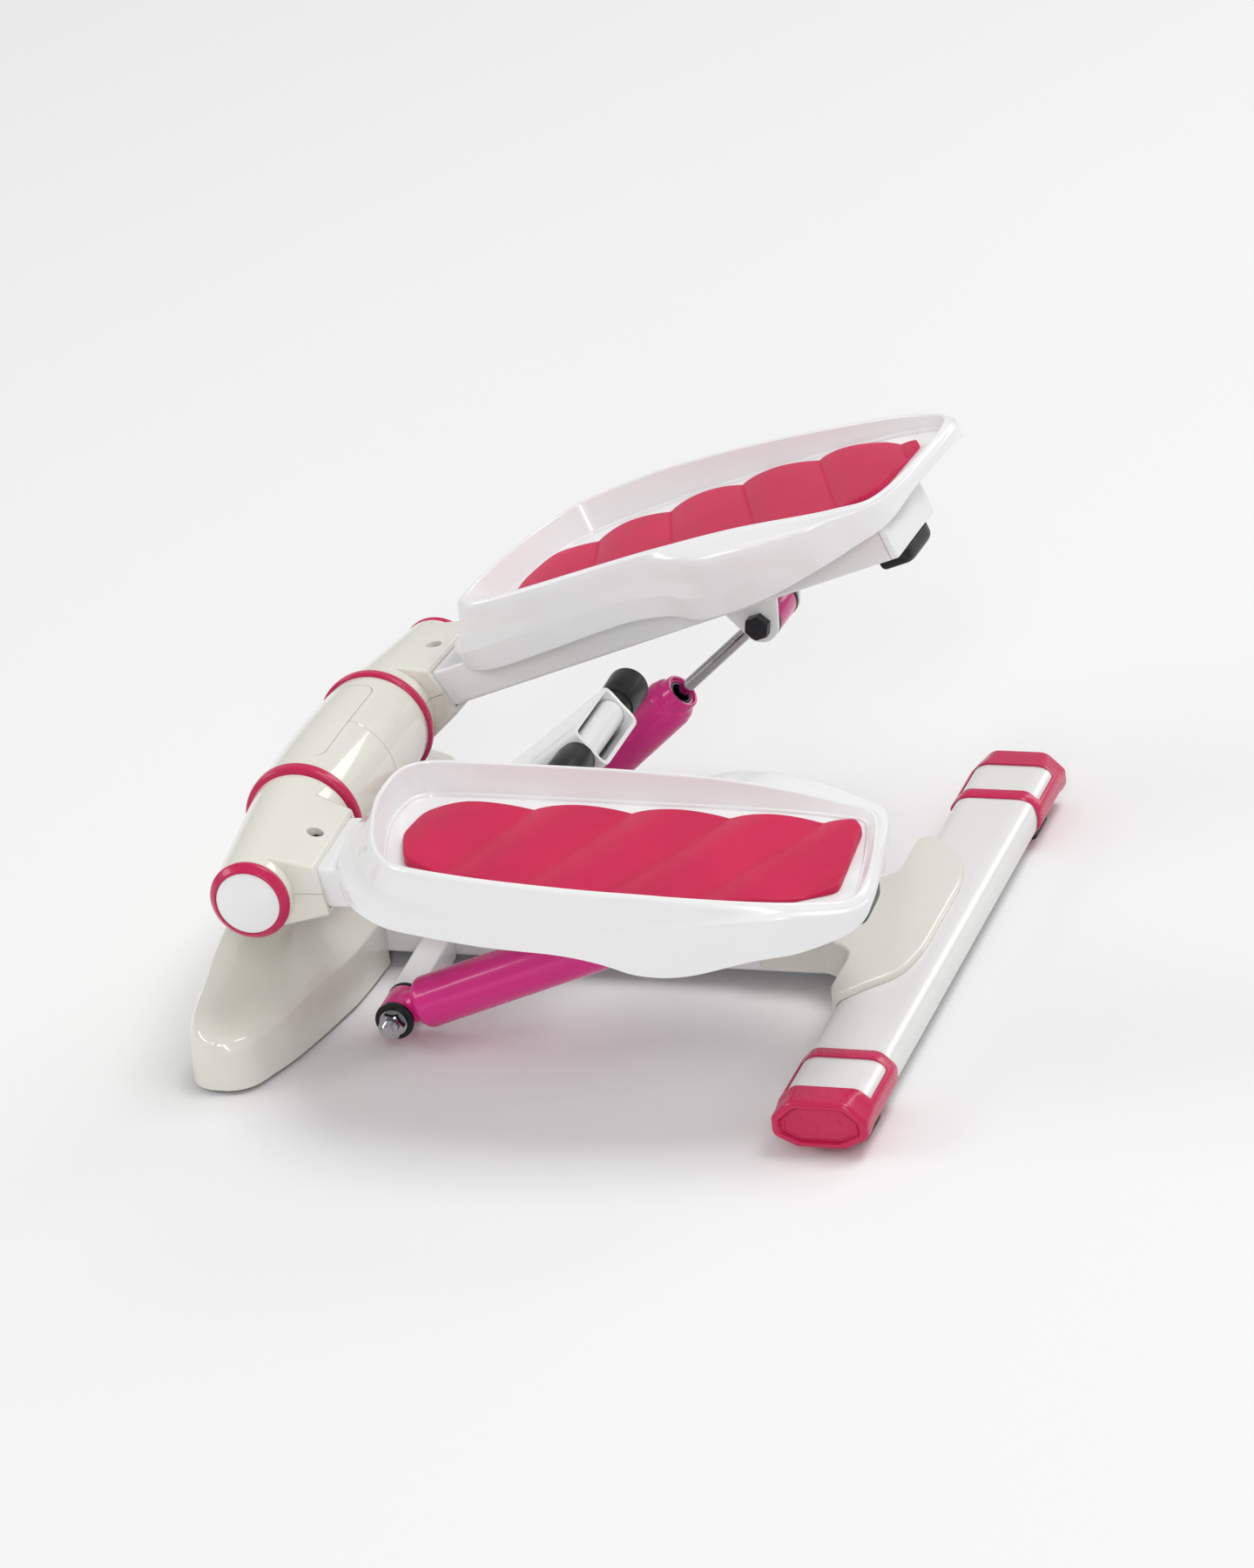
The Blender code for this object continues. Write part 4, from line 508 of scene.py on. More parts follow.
# Finishes: colours, roughness, metallic value, coat, grain size per metre, grain depth in metres,
# and how far colour and roughness wander
FINISHES = {
    "white_plastic": ((0.84, 0.84, 0.845), 0.22, 0.0, 0.35, 900, 0.000002, 0.012, 0.04),
    "white_paint": ((0.82, 0.82, 0.82), 0.24, 0.0, 0.40, 2400, 0.000002, 0.012, 0.015),
    "ivory_plastic": ((0.75, 0.74, 0.665), 0.16, 0.0, 0.50, 1600, 0.000002, 0.015, 0.02),
    "bar_paint": ((0.77, 0.765, 0.75), 0.28, 0.0, 0.35, 2600, 0.000003, 0.012, 0.015),
    "pink_plastic": ((0.54, 0.012, 0.082), 0.28, 0.0, 0.15, 1100, 0.000004, 0.05, 0.03),
    "pad_rubber": ((0.56, 0.014, 0.074), 0.46, 0.0, 0.0, 2300, 0.000040, 0.08, 0.06),
    "magenta_paint": ((0.70, 0.018, 0.235), 0.24, 0.0, 0.40, 1500, 0.000003, 0.04, 0.03),
    "black_rubber": ((0.007, 0.007, 0.008), 0.34, 0.0, 0.0, 1600, 0.000010, 0.20, 0.06),
    "black_steel": ((0.022, 0.022, 0.025), 0.28, 0.5, 0.0, 900, 0.000008, 0.20, 0.08),
    "chrome": ((0.50, 0.50, 0.52), 0.07, 1.0, 0.0, 2400, 0.0000002, 0.03, 0.01),
    "steel": ((0.30, 0.30, 0.31), 0.26, 1.0, 0.0, 900, 0.000006, 0.10, 0.08),
}
WEAR_SCALE = 14
# Mirror strength at the surface of these finishes, then of all others
SPECULAR = {"pad_rubber": 0.22, "pink_plastic": 0.35, "black_rubber": 0.35, "magenta_paint": 0.35}
PLAIN_SPECULAR = 0.5
COAT_ROUGHNESS = 0.04
# The pad's cells, as a share of its grain
CELL_SHARE = 0.45

# Studio: floor, camera, sky and lamps
FLOOR_HALF = 12.0
CAMERA_TARGET = Vector((0.0233, 0.1753 - MIDDLE_Y, 0.0973))
CAMERA_DISTANCE = 3.7353
CAMERA_AZIMUTH = math.radians(20.5)
CAMERA_PITCH = math.radians(25.4)
CAMERA_ROLL = math.radians(-6.6)
FOCAL_PIXELS = 7569.9
IMAGE_HEIGHT = 1800
SENSOR = 36
FLOOR_SHADE = 0.85
SKY_STRENGTH = 0.47
# Each lamp: name, place, width, height, power in watts
LAMPS = (
    ("over", (0.8, -1.6, 4.6), 2.6, 1.8, 104),
    ("left", (-4.4, -1.2, 2.4), 0.5, 3.4, 60),
    ("front", (-1.8, 5.0, 3.0), 3.4, 1.2, 70),
    ("right", (4.6, -2.2, 2.8), 1.2, 3.4, 44),
)


# Shapes
def skin(mesh, first, second):
    """Faces between two equal closed rows of vertices."""
    for index in range(len(first)):
        following = (index + 1) % len(first)
        mesh.faces.new((first[index], first[following], second[following], second[index]))


def loft(loops, closed=False):
    """Skin a row of equal loops; a closed row joins its ends, an open one gets end faces."""
    mesh = bmesh.new()
    rows = [[mesh.verts.new(point) for point in loop] for loop in loops]
    for first, second in zip(rows, rows[1:]):
        skin(mesh, first, second)
    if closed:
        skin(mesh, rows[-1], rows[0])
    else:
        mesh.faces.new(rows[0][::-1])
        mesh.faces.new(rows[-1])
    return mesh


def ring(centre, axis, radius, count=32):
    """A circle of points about an axis, starting from the upward side."""
    axis = Vector(axis).normalized()
    side = Vector((0, 0, 1)) if abs(axis.z) < 0.9 else Vector((0, 1, 0))
    first = (side - axis * side.dot(axis)).normalized()
    second = axis.cross(first)
    turns = [2 * math.pi * index / count for index in range(count)]
    return [Vector(centre) + (first * math.cos(t) + second * math.sin(t)) * radius for t in turns]


def peg(ends, radius, count=MIDDLE_ROUND, axis=(1, 0, 0)):
    """A plain round bar between two points, used as a cutter."""
    return loft([ring(end, axis, radius, count) for end in ends])


def turned(profile, origin, axis, count=ROUND, closed=True):
    """A turned solid from (along, radius) pairs; a closed profile has a hole through it."""
    axis = Vector(axis).normalized()
    loops = [ring(Vector(origin) + axis * along, axis, radius, count) for along, radius in profile]
    return loft(loops, closed)


def bend(start, corner, end, steps):
    """A curve that leaves one point towards a corner and reaches the other from that corner."""
    shares = [step / steps for step in range(steps + 1)]
    return [start * (1 - t) ** 2 + corner * 2 * t * (1 - t) + end * t ** 2 for t in shares]


def rounded(corners, steps=4):
    """A closed outline from corners (u, v, radius), each corner an arc of that radius."""
    result = []
    for index, (u, v, radius) in enumerate(corners):
        here = Vector((u, v))
        before = Vector(corners[index - 1][:2]) - here
        after = Vector(corners[(index + 1) % len(corners)][:2]) - here
        reach = radius / math.tan(before.angle(after) / 2)
        reach = min(reach, CORNER_SHARE * before.length, CORNER_SHARE * after.length)
        if reach < 1e-5:
            result.append(here)
            continue
        result += bend(here + before.normalized() * reach, here, here + after.normalized() * reach, steps)
    return result


def fillet(points, radius, steps=3):
    """Round the inner corners of an open row of points (u, v) or (u, v, own radius)."""
    result = [Vector(points[0][:2])]
    for before, here, after in zip(points, points[1:], points[2:]):
        own = here[2] if len(here) > 2 else radius
        here = Vector(here[:2])
        before = Vector(before[:2]) - here
        after = Vector(after[:2]) - here
        half = max(before.angle(after, math.pi), SHARPEST) / 2
        reach = own / max(math.tan(half), SHARPEST)
        reach = min(reach, FILLET_SHARE * before.length, FILLET_SHARE * after.length)
        result += bend(here + before.normalized() * reach, here, here + after.normalized() * reach, steps)
    result.append(Vector(points[-1][:2]))
    return result


def lathe(profile, origin, axis, radius=EDGE, count=ROUND, closed=True, steps=3):
    """A turned solid with rounded profile corners; a closed profile starts on its bore."""
    row = [profile[-1], *profile] if closed else list(profile)
    rows = [tuple(point) for point in fillet(row, radius, steps)]
    return turned(rows[1:] if closed else rows, origin, axis, count, closed)


def rectangle(low_u, high_u, low_v, high_v, radius, steps):
    corners = ((low_u, low_v), (high_u, low_v), (high_u, high_v), (low_u, high_v))
    return rounded([(u, v, radius) for u, v in corners], steps)


def along_x(outline, x):
    return [Vector((x, u, v)) for u, v in outline]


def along_y(outline, y):
    return [Vector((u, y, v)) for u, v in outline]


def along_z(outline, z):
    return [Vector((u, v, z)) for u, v in outline]


def tube(outer, inner, ends, spread):
    """An open tube with two outlines; spread puts an outline at a place."""
    loops = [spread(outer, ends[0]), spread(outer, ends[1]), spread(inner, ends[1]), spread(inner, ends[0])]
    return loft(loops, closed=True)


def box_mesh(low, high, radius=0.0):
    outline = rectangle(low[0], high[0], low[1], high[1], radius, 4)
    return loft([along_z(outline, low[2]), along_z(outline, high[2])])


def pedal_point(side, a, b, c):
    return Vector((side * b, -a, c))


def across(side, outline, a):
    """An outline of (b, c) pairs across the pedal, at a distance from its pivot."""
    return [pedal_point(side, a, b, c) for b, c in outline]


def prism(side, outline, low_b, high_b):
    return loft([[pedal_point(side, a, b, c) for a, c in outline] for b in (low_b, high_b)])


def pedal_box(side, a, b, c):
    return prism(side, ((a[0], c[0]), (a[1], c[0]), (a[1], c[1]), (a[0], c[1])), b[0], b[1])


def smooth_point(p0, p1, p2, p3, t):
    """A point between the middle two of four, on a smooth curve through them all."""
    return tuple(0.5 * (2 * v1 + (v2 - v0) * t + (2 * v0 - 5 * v1 + 4 * v2 - v3) * t * t
                        + (3 * v1 - v0 - 3 * v2 + v3) * t ** 3)
                 for v0, v1, v2, v3 in zip(p0, p1, p2, p3))


def smooth_row(points, steps, closed):
    """A smooth curve through the given points, of any number of values each."""
    result = []
    last = len(points) - 1
    for index in range(last + closed):
        near = range(index - 1, index + 3)
        four = [points[k % (last + 1)] if closed else points[min(max(k, 0), last)] for k in near]
        result += [smooth_point(*four, step / steps) for step in range(steps)]
    return result if closed else result + [points[-1]]


def quarter_turn(radius, steps):
    """How far a rounded edge has gone along and dropped, from its start to its end."""
    turns = [math.radians(90 * step / steps) for step in range(steps + 1)]
    return [(radius * math.sin(turn), radius * (1 - math.cos(turn))) for turn in turns]


def inward(loop, distance):
    """Move each point of a flat closed loop towards the inside by a distance."""
    area = sum(loop[index - 1][0] * v - u * loop[index - 1][1] for index, (u, v) in enumerate(loop))
    if area < 0:
        distance = -distance
    result = []
    for index, (u, v) in enumerate(loop):
        along = (Vector(loop[(index + 1) % len(loop)]) - Vector(loop[index - 1])).normalized()
        result.append(Vector((u - along.y * distance, v + along.x * distance)))
    return result


def softened(outline, reach, keep=math.inf):
    """Rounds a closed outline by averaging over a reach each way; above keep it stays as it is."""
    points = []
    for start, end in zip(outline, outline[1:] + outline[:1]):
        parts = max(1, round((end - start).length / SOFT_STEP))
        points += [start.lerp(end, part / parts) for part in range(parts)]
    span = round(reach / SOFT_STEP)
    smooth = []
    for index, point in enumerate(points):
        near = [points[(index + shift) % len(points)] for shift in range(-span, span + 1)]
        smooth.append(point if point.y > keep else sum(near, Vector((0, 0))) / len(near))
    return smooth


def resample(points, count):
    """The same open row of points, evenly spaced along its length."""
    lengths = [0.0]
    for first, second in zip(points, points[1:]):
        lengths.append(lengths[-1] + (second - first).length)
    result = []
    for step in range(count + 1):
        target = lengths[-1] * step / count
        index = 1
        while index < len(lengths) - 1 and lengths[index] < target:
            index += 1
        span = lengths[index] - lengths[index - 1]
        share = (target - lengths[index - 1]) / span if span else 0
        result.append(points[index - 1].lerp(points[index], min(max(share, 0), 1)))
    return result


def tangent_point(point, radius, way):
    """Where a line from a point outside touches a circle about the origin, on one side or the other."""
    turn = math.atan2(point.y, point.x) + way * math.acos(radius / point.length)
    return Vector((radius * math.cos(turn), radius * math.sin(turn)))


# Objects
def add_object(name, data):
    item = bpy.data.objects.new(name, data)
    bpy.context.scene.collection.objects.link(item)
    return item


def loose(mesh):
    """A mesh as an object for a short while, to be cut or given a wall."""
    bmesh.ops.remove_doubles(mesh, verts=mesh.verts, dist=1e-6)
    bmesh.ops.recalc_face_normals(mesh, faces=mesh.faces)
    data = bpy.data.meshes.new("loose")
    mesh.to_mesh(data)
    mesh.free()
    return add_object("loose", data)


def taken_back(item, *others):
    """The mesh of a loose object with its modifiers worked in; the loose objects go."""
    result = bmesh.new()
    result.from_object(item, bpy.context.evaluated_depsgraph_get())
    for used in (item, *others):
        data = used.data
        bpy.data.objects.remove(used, do_unlink=True)
        bpy.data.meshes.remove(data)
    return result


def carve(mesh, cutter, operation="DIFFERENCE"):
    """One mesh cut by, joined to or kept within another."""
    item = loose(mesh)
    tool = loose(cutter)
    modifier = item.modifiers.new("cut", "BOOLEAN")
    modifier.operation = operation
    modifier.solver = "EXACT"
    modifier.object = tool
    return taken_back(item, tool)


def put(name, mesh, body, finish, nodes=(), place=None, bevel=0.0, segments=2):
    """Finish a mesh as a piece that rides on a body and stands for CAD nodes."""
    bmesh.ops.remove_doubles(mesh, verts=mesh.verts, dist=2e-6)
    bmesh.ops.recalc_face_normals(mesh, faces=mesh.faces)
    mesh.transform(WORLD @ place if place else WORLD)
    for face in mesh.faces:
        face.smooth = True
    if not bevel:
        for edge in mesh.edges:
            edge.smooth = edge.calc_face_angle(0.0) < SMOOTH_ANGLE
    data = bpy.data.meshes.new(name)
    mesh.to_mesh(data)
    mesh.free()
    item = add_object(name, data)
    item.data.materials.append(finish_material(finish))
    if bevel:
        modifier = item.modifiers.new("edges", "BEVEL")
        modifier.width = bevel
        modifier.segments = segments
        modifier.limit_method = "ANGLE"
        modifier.angle_limit = BEVEL_ANGLE
        modifier.harden_normals = True
    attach(item, body)
    if nodes:
        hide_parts(*nodes)
    return item


def hub_place(name):
    return Matrix.Translation(HUB_PLACE[name]) @ Matrix.Rotation(-SIDES[name] * SPLAY, 4, "Z")


def pedal_place(name):
    return hub_place(name) @ Matrix.Rotation(-REST_PITCH[name], 4, "X")


def put_pair(name, piece, mesh, body, finish, node="", place=None, bevel=0.0, segments=2):
    """One of a left and right pair: the names of piece, body and node end with the side's name."""
    if body == "pedal":
        place = pedal_place(name)
    if body != "frame":
        body = f"{body}_{name}"
    nodes = (f"{node}_{name}",) if node else ()
    return put(f"{piece}_{name}", mesh, body, finish, nodes, place, bevel, segments)


# Finishes
def set_inputs(node, **values):
    """Give a node's inputs their values; an underscore stands for a space in an input's name."""
    for name, value in values.items():
        node.inputs[name.replace("_", " ")].default_value = value


def finish_material(name):
    """Colour and gloss wander slowly over the surface, and a fine grain gives its bump."""
    material = bpy.data.materials.get(name + "_finish")
    if material:
        return material
    colour, roughness, metallic, coat, grain, depth, wander, gloss = FINISHES[name]
    material = bpy.data.materials.new(name + "_finish")
    material.use_nodes = True
    nodes = material.node_tree.nodes
    links = material.node_tree.links
    shader = nodes["Principled BSDF"]
    set_inputs(shader, Metallic=metallic, Coat_Weight=coat, Coat_Roughness=COAT_ROUGHNESS,
               Specular_IOR_Level=SPECULAR.get(name, PLAIN_SPECULAR))
    place = nodes.new("ShaderNodeTexCoord")

    def pattern(kind, **values):
        texture = nodes.new(kind)
        set_inputs(texture, **values)
        links.new(place.outputs["Object"], texture.inputs["Vector"])
        return texture

    broad = pattern("ShaderNodeTexNoise", Scale=WEAR_SCALE, Detail=4)
    fine = pattern("ShaderNodeTexNoise", Scale=grain, Detail=2)
    tint = nodes.new("ShaderNodeValToRGB")
    for element, position, share in zip(tint.color_ramp.elements, (0.3, 0.7), (1 - wander, 1 + wander)):
        element.position = position
        element.color = (*[part * share for part in colour], 1)
    links.new(broad.outputs["Fac"], tint.inputs["Fac"])
    links.new(tint.outputs["Color"], shader.inputs["Base Color"])
    shine = nodes.new("ShaderNodeMapRange")
    set_inputs(shine, To_Min=roughness - gloss, To_Max=roughness + gloss)
    links.new(fine.outputs["Fac"], shine.inputs["Value"])
    links.new(shine.outputs["Result"], shader.inputs["Roughness"])
    bump = nodes.new("ShaderNodeBump")
    set_inputs(bump, Strength=1.0, Distance=depth)
    relief = fine.outputs["Fac"]
    if name == "pad_rubber":
        relief = pattern("ShaderNodeTexVoronoi", Scale=grain * CELL_SHARE).outputs["Distance"]
    links.new(relief, bump.inputs["Height"])
    links.new(bump.outputs["Normal"], shader.inputs["Normal"])
    return material


# Rear bar, caps and feet
def bar_outline(offset=0.0):
    width = BAR_HALF_WIDTH + offset
    height = BAR_HALF_HEIGHT + offset
    return rectangle(-width, width, BAR_Z - height, BAR_Z + height, BAR_CORNER + offset, 14)


def make_rear_bar():
    bar = tube(bar_outline(), bar_outline(-BAR_WALL), (-BAR_HALF_LENGTH, BAR_HALF_LENGTH), along_x)
    put("bar_tube", bar, "frame", "bar_paint", ("rear_bar",))


def cap_outline(inset=0.0, end=0.0):
    """The cap's section; end goes from 0 at the bar to 1, where its corners are cut further."""
    wide = CAP_HALF_WIDTH - inset
    low = CAP_BOTTOM_HALF + (END_BOTTOM_HALF - CAP_BOTTOM_HALF) * end - inset * CAP_BOTTOM_SHARE
    knee = BAR_Z - CAP_KNEE_DROP
    knee += (END_KNEE - knee) * end
    top = CAP_TOP - inset
    step = CAP_CHAMFER + (END_CHAMFER - CAP_CHAMFER) * end - inset * CAP_CORNER_SHARE
    half = ((low, CAP_BOTTOM + inset, CAP_BELLY), (wide, knee, CAP_SOFTENING),
            (wide, top - step, CAP_SOFTENING), (wide - step, top, CAP_SHOULDER))
    return rounded((*half, *[(-y, z, radius) for y, z, radius in reversed(half)]), 8)


def end_loops(side, stops):
    """Smaller copies of the cap's end about its middle, each at a place along x."""
    middle = Vector((0, (CAP_TOP + CAP_BOTTOM) / 2))
    loops = []
    for x, share in stops:
        outline = [middle + Vector(((y - middle.x) * share, (z - middle.y) * share * RECESS_SQUASH))
                   for y, z in cap_outline(0, 1)]
        loops.append(along_x(outline, side * x))
    return loops


def cap_body(side):
    stops = [(CAP_INNER_X + along, inset, 0) for along, inset in CAP_LIP]
    stops += [(BAR_HALF_LENGTH + along, 0, end) for along, end in CAP_TAPER]
    start = CAP_OUTER_X - CAP_END_ROUND
    stops += [(start + along, inset, 1) for along, inset in quarter_turn(CAP_END_ROUND, 5)]
    cap = loft([along_x(cap_outline(inset, end), side * x) for x, inset, end in stops])
    reach = (side * (CAP_INNER_X - BEYOND), side * (BAR_HALF_LENGTH + TOUCH_GAP))
    cap = carve(cap, loft([along_x(bar_outline(TOUCH_GAP), x) for x in reach]))
    low, high = sorted((side * WINDOW_INNER_X, side * WINDOW_OUTER_X))
    window = rounded(((low, WINDOW_SILL_Z, WINDOW_CORNER), (high, WINDOW_SILL_Z, WINDOW_CORNER),
                      (high, CAP_TOP * 1.5, 0), (low, CAP_TOP * 1.5, 0)), 5)
    cap = carve(cap, loft([along_y(window, y) for y in (-CAP_HALF_WIDTH * 1.5, CAP_HALF_WIDTH * 1.5)]))
    face = ((RECESS_X, RECESS_SHARE - RECESS_DRAFT), (CAP_OUTER_X + RECESS_PAST, RECESS_SHARE + RECESS_FLARE))
    return carve(cap, loft(end_loops(side, face)))


def make_rear_caps():
    for name, side in SIDES.items():
        put_pair(name, "end_cap", cap_body(side), "frame", "pink_plastic", "rear_cap", bevel=EDGE, segments=3)
        root, crown = RECESS_X - BEAD_ROOT, RECESS_X + BEAD_RISE
        inner = BEAD_SHARE - BEAD_WIDTH
        bead = end_loops(side, ((root, BEAD_SHARE), (crown, BEAD_SHARE), (crown, inner), (root, inner)))
        put_pair(name, "cap_bead", loft(bead, closed=True), "frame", "pink_plastic", bevel=HAIR_EDGE)
        for number, (y, z) in enumerate(DOT_PLACES):
            dot = lathe(DOT_PROFILE, (side * RECESS_X, y, z), (side, 0, 0), HAIR_EDGE, 24, closed=False)
            put(f"cap_dot_{name}_{number}", dot, "frame", "pink_plastic")
        low, high = sorted((side * FOOT_INNER_X, side * FOOT_OUTER_X))
        top = CAP_BOTTOM - TOUCH_GAP
        foot = box_mesh((low, -FOOT_HALF_WIDTH, 0), (high, FOOT_HALF_WIDTH, top), FOOT_CORNER)
        put_pair(name, "foot", foot, "frame", "black_rubber", "rear_foot", bevel=FULL_EDGE)


# Centre beam and rear cover
def beam_outline(inset=0.0):
    width = BEAM_HALF_WIDTH - inset
    return rectangle(-width, width, BEAM_BOTTOM + inset, BEAM_TOP - inset, BEAM_CORNER - inset, 8)


def make_centre_beam():
    ends = (BAR_HALF_WIDTH + TOUCH_GAP, DRUM_Y - UPRIGHT_HALF_DEPTH - TOUCH_GAP)
    beam = tube(beam_outline(), beam_outline(BEAM_WALL), ends, along_y)
    put("beam_tube", beam, "frame", "white_paint", ("centre_beam",))


def beam_room(low_y, high_y, bottom):
    """A cutter that leaves room for the beam under a cover."""
    width = BEAM_HALF_WIDTH + TOUCH_GAP
    return box_mesh((-width, low_y, bottom), (width, high_y, BEAM_TOP + TOUCH_GAP))


def make_rear_cover():
    neck = BEAM_HALF_WIDTH + TOUCH_GAP + COVER_WALL
    half = (*COVER_OUTLINE, (neck + COVER_FILLET_X, COVER_FILLET_Y, COVER_NECK_ROUND),
            (neck, COVER_NECK_START, COVER_NECK_ROUND), (neck, COVER_NECK_Y, COVER_NECK_CORNER))
    mirrored = [(-x, y, radius) for x, y, radius in reversed(half)]
    outline = softened(rounded((*half, *mirrored)), COVER_SOFTENING, COVER_NECK_START)
    start = BEAM_TOP + TOUCH_GAP + COVER_WALL - COVER_EDGE
    stops = [(COVER_BOTTOM, 0.0)] + [(start + rise, inset) for rise, inset in quarter_turn(COVER_EDGE, 6)]
    cover = loft([along_z(inward(outline, inset), z) for z, inset in stops])
    reach = COVER_OUTLINE[-2][0] + CUT_MARGIN
    cover = carve(cover, loft([along_x(bar_outline(TOUCH_GAP), x) for x in (-reach, reach)]))
    under = COVER_BOTTOM - CUT_MARGIN / 2
    cover = carve(cover, beam_room(COVER_BEAM_ROOM_Y, COVER_NECK_Y + CUT_MARGIN, under))
    cover = carve(cover, box_mesh((-reach, -2 * BAR_HALF_WIDTH, under), (reach, 0.0, BAR_Z)))
    put("tee_cover", cover, "frame", "ivory_plastic", ("rear_cover",))


# Front stand
def stand_profile(x, rear, front, crease, ridge):
    points = [(rear, STAND_BOTTOM)]
    for share, shift, rise, lift, radius in STAND_SIDE:
        here = rear + share * (front - rear) + shift
        points.append((here, crease + rise * (ridge - crease) + lift, radius))
    points.append((front, STAND_BOTTOM))
    return along_x(fillet(points, EDGE, 5), x)


def upright_room():
    """A cutter that leaves room for the stand's upright under the drum."""
    width = UPRIGHT_HALF_WIDTH + TOUCH_GAP
    depth = UPRIGHT_HALF_DEPTH + TOUCH_GAP
    low = (-width, DRUM_Y - depth, STAND_STATIONS[0][3])
    return box_mesh(low, (width, DRUM_Y + depth, AXIS_Z - AXLE_RADIUS), UPRIGHT_CORNER)


def make_front_cover():
    stations = [(-x, *rest) for x, *rest in reversed(STAND_STATIONS)] + list(STAND_STATIONS[1:])
    mesh = bmesh.new()
    rows = [[mesh.verts.new(point) for point in stand_profile(*station)]
            for station in smooth_row(stations, STAND_STEPS, closed=False)]
    for first, second in zip(rows, rows[1:]):
        for index in range(len(first) - 1):
            mesh.faces.new((first[index], first[index + 1], second[index + 1], second[index]))
    mesh.faces.new(rows[0])
    mesh.faces.new(rows[-1][::-1])
    item = loose(mesh)
    shell = item.modifiers.new("wall", "SOLIDIFY")
    shell.thickness = STAND_WALL
    shell.offset = -1
    rear = STAND_STATIONS[0][1] - CUT_MARGIN
    cover = carve(taken_back(item), beam_room(rear, DRUM_Y - UPRIGHT_HALF_DEPTH, STAND_BOTTOM - CUT_MARGIN))
    cover = carve(cover, upright_room())
    put("stand_cover", cover, "frame", "ivory_plastic", ("front_cover",))


# Drum and its rings
def drum_radius(x):
    share = abs(x) / DRUM_HALF_LENGTH
    return DRUM_MID_RADIUS - (DRUM_MID_RADIUS - DRUM_END_RADIUS) * share ** 2


def drum_sector(half, parts, bore, outer, slack=0.0):
    """A block of the drum's wall over the panel's angles; its far ends are rounded in plan."""
    span = PANEL_FRONT_ANGLE - PANEL_REAR_ANGLE + 2 * slack
    loops = []
    for step in range(PANEL_STEPS + 1):
        share = step / PANEL_STEPS
        turn = PANEL_REAR_ANGLE - slack + span * share
        short = max(PANEL_CORNER - min(share, 1 - share) * span * bore, 0)
        pull = PANEL_CORNER - math.sqrt(PANEL_CORNER ** 2 - short ** 2)
        row = [(half - pull) * (2 * part / parts - 1) for part in range(parts + 1)]
        way = Vector((0, math.sin(turn), math.cos(turn)))
        loop = [DRUM_CENTRE + Vector((x, 0, 0)) + way * bore for x in row]
        loop += [DRUM_CENTRE + Vector((x, 0, 0)) + way * outer(x) for x in reversed(row)]
        loops.append(loop)
    return loft(loops)


def make_drum():
    start = DRUM_GROOVE / 2
    stops = [start + (DRUM_HALF_LENGTH - start) * step / DRUM_STEPS for step in range(DRUM_STEPS)]
    profile = [(start, DRUM_MID_RADIUS - DRUM_GROOVE_DEPTH)]
    profile += [(max(stop, start + DRUM_GROOVE_EDGE), drum_radius(stop)) for stop in stops]
    end = DRUM_HALF_LENGTH
    profile += [(end - END_DROP, DRUM_END_RADIUS), (end, DRUM_END_RADIUS - END_DROP), (end, DRUM_BORE),
                (start, DRUM_BORE)]
    for name, side in SIDES.items():
        shell = turned(profile, DRUM_CENTRE, (side, 0, 0))
        shell = carve(shell, drum_sector(PANEL_HALF_LENGTH + TOUCH_GAP, DRUM_STEPS, PANEL_FLOOR,
                                         lambda x: DRUM_MID_RADIUS + CUT_MARGIN, TOUCH_GAP / PANEL_FLOOR))
        shell = carve(shell, upright_room())
        put_pair(name, "drum_half", shell, "frame", "ivory_plastic", "drum_shell")
    panel = drum_sector(PANEL_HALF_LENGTH, 2 * DRUM_STEPS, PANEL_FLOOR + TOUCH_GAP, drum_radius)
    put("panel", panel, "frame", "ivory_plastic", ("drum_panel",), bevel=FINE_EDGE)


def make_drum_rings():
    for name, side in SIDES.items():
        axis_in = Vector((side, 0, 0))
        way = Vector((side * math.cos(SPLAY), -math.sin(SPLAY), 0))
        outer_face = HUB_PLACE[name] - way * (HUB_HALF_LENGTH + RING_HUB_GAP)
        inner_face = DRUM_CENTRE + axis_in * (DRUM_HALF_LENGTH + TOUCH_GAP)
        lip = inner_face - axis_in * RING_LIP
        seat = drum_radius(DRUM_HALF_LENGTH - RING_LIP) + RING_SEAT
        loops = [ring(inner_face, axis_in, RING_BORE, ROUND), ring(inner_face, axis_in, seat, ROUND),
                 ring(lip, axis_in, seat, ROUND)]
        for step in range(RING_STEPS + 1):
            t = step / RING_STEPS
            swell = RING_SWELL * (1 - (2 * t - 1) ** 6)
            radius = max(seat, RING_RADIUS) + RING_SEAT - RING_TAPER * t + swell
            loops.append(ring(lip.lerp(outer_face, t), axis_in.lerp(way, max(0.0, 2 * t - 1)), radius, ROUND))
        loops.append(ring(outer_face, way, RING_BORE, ROUND))
        put_pair(name, "ring", loft(loops, closed=True), "frame", "pink_plastic", "drum_ring")


# Pedal hubs
def hub_radius(b):
    share = (b + HUB_HALF_LENGTH) / (2 * HUB_HALF_LENGTH)
    return HUB_INNER_RADIUS + (HUB_OUTER_RADIUS - HUB_INNER_RADIUS) * share


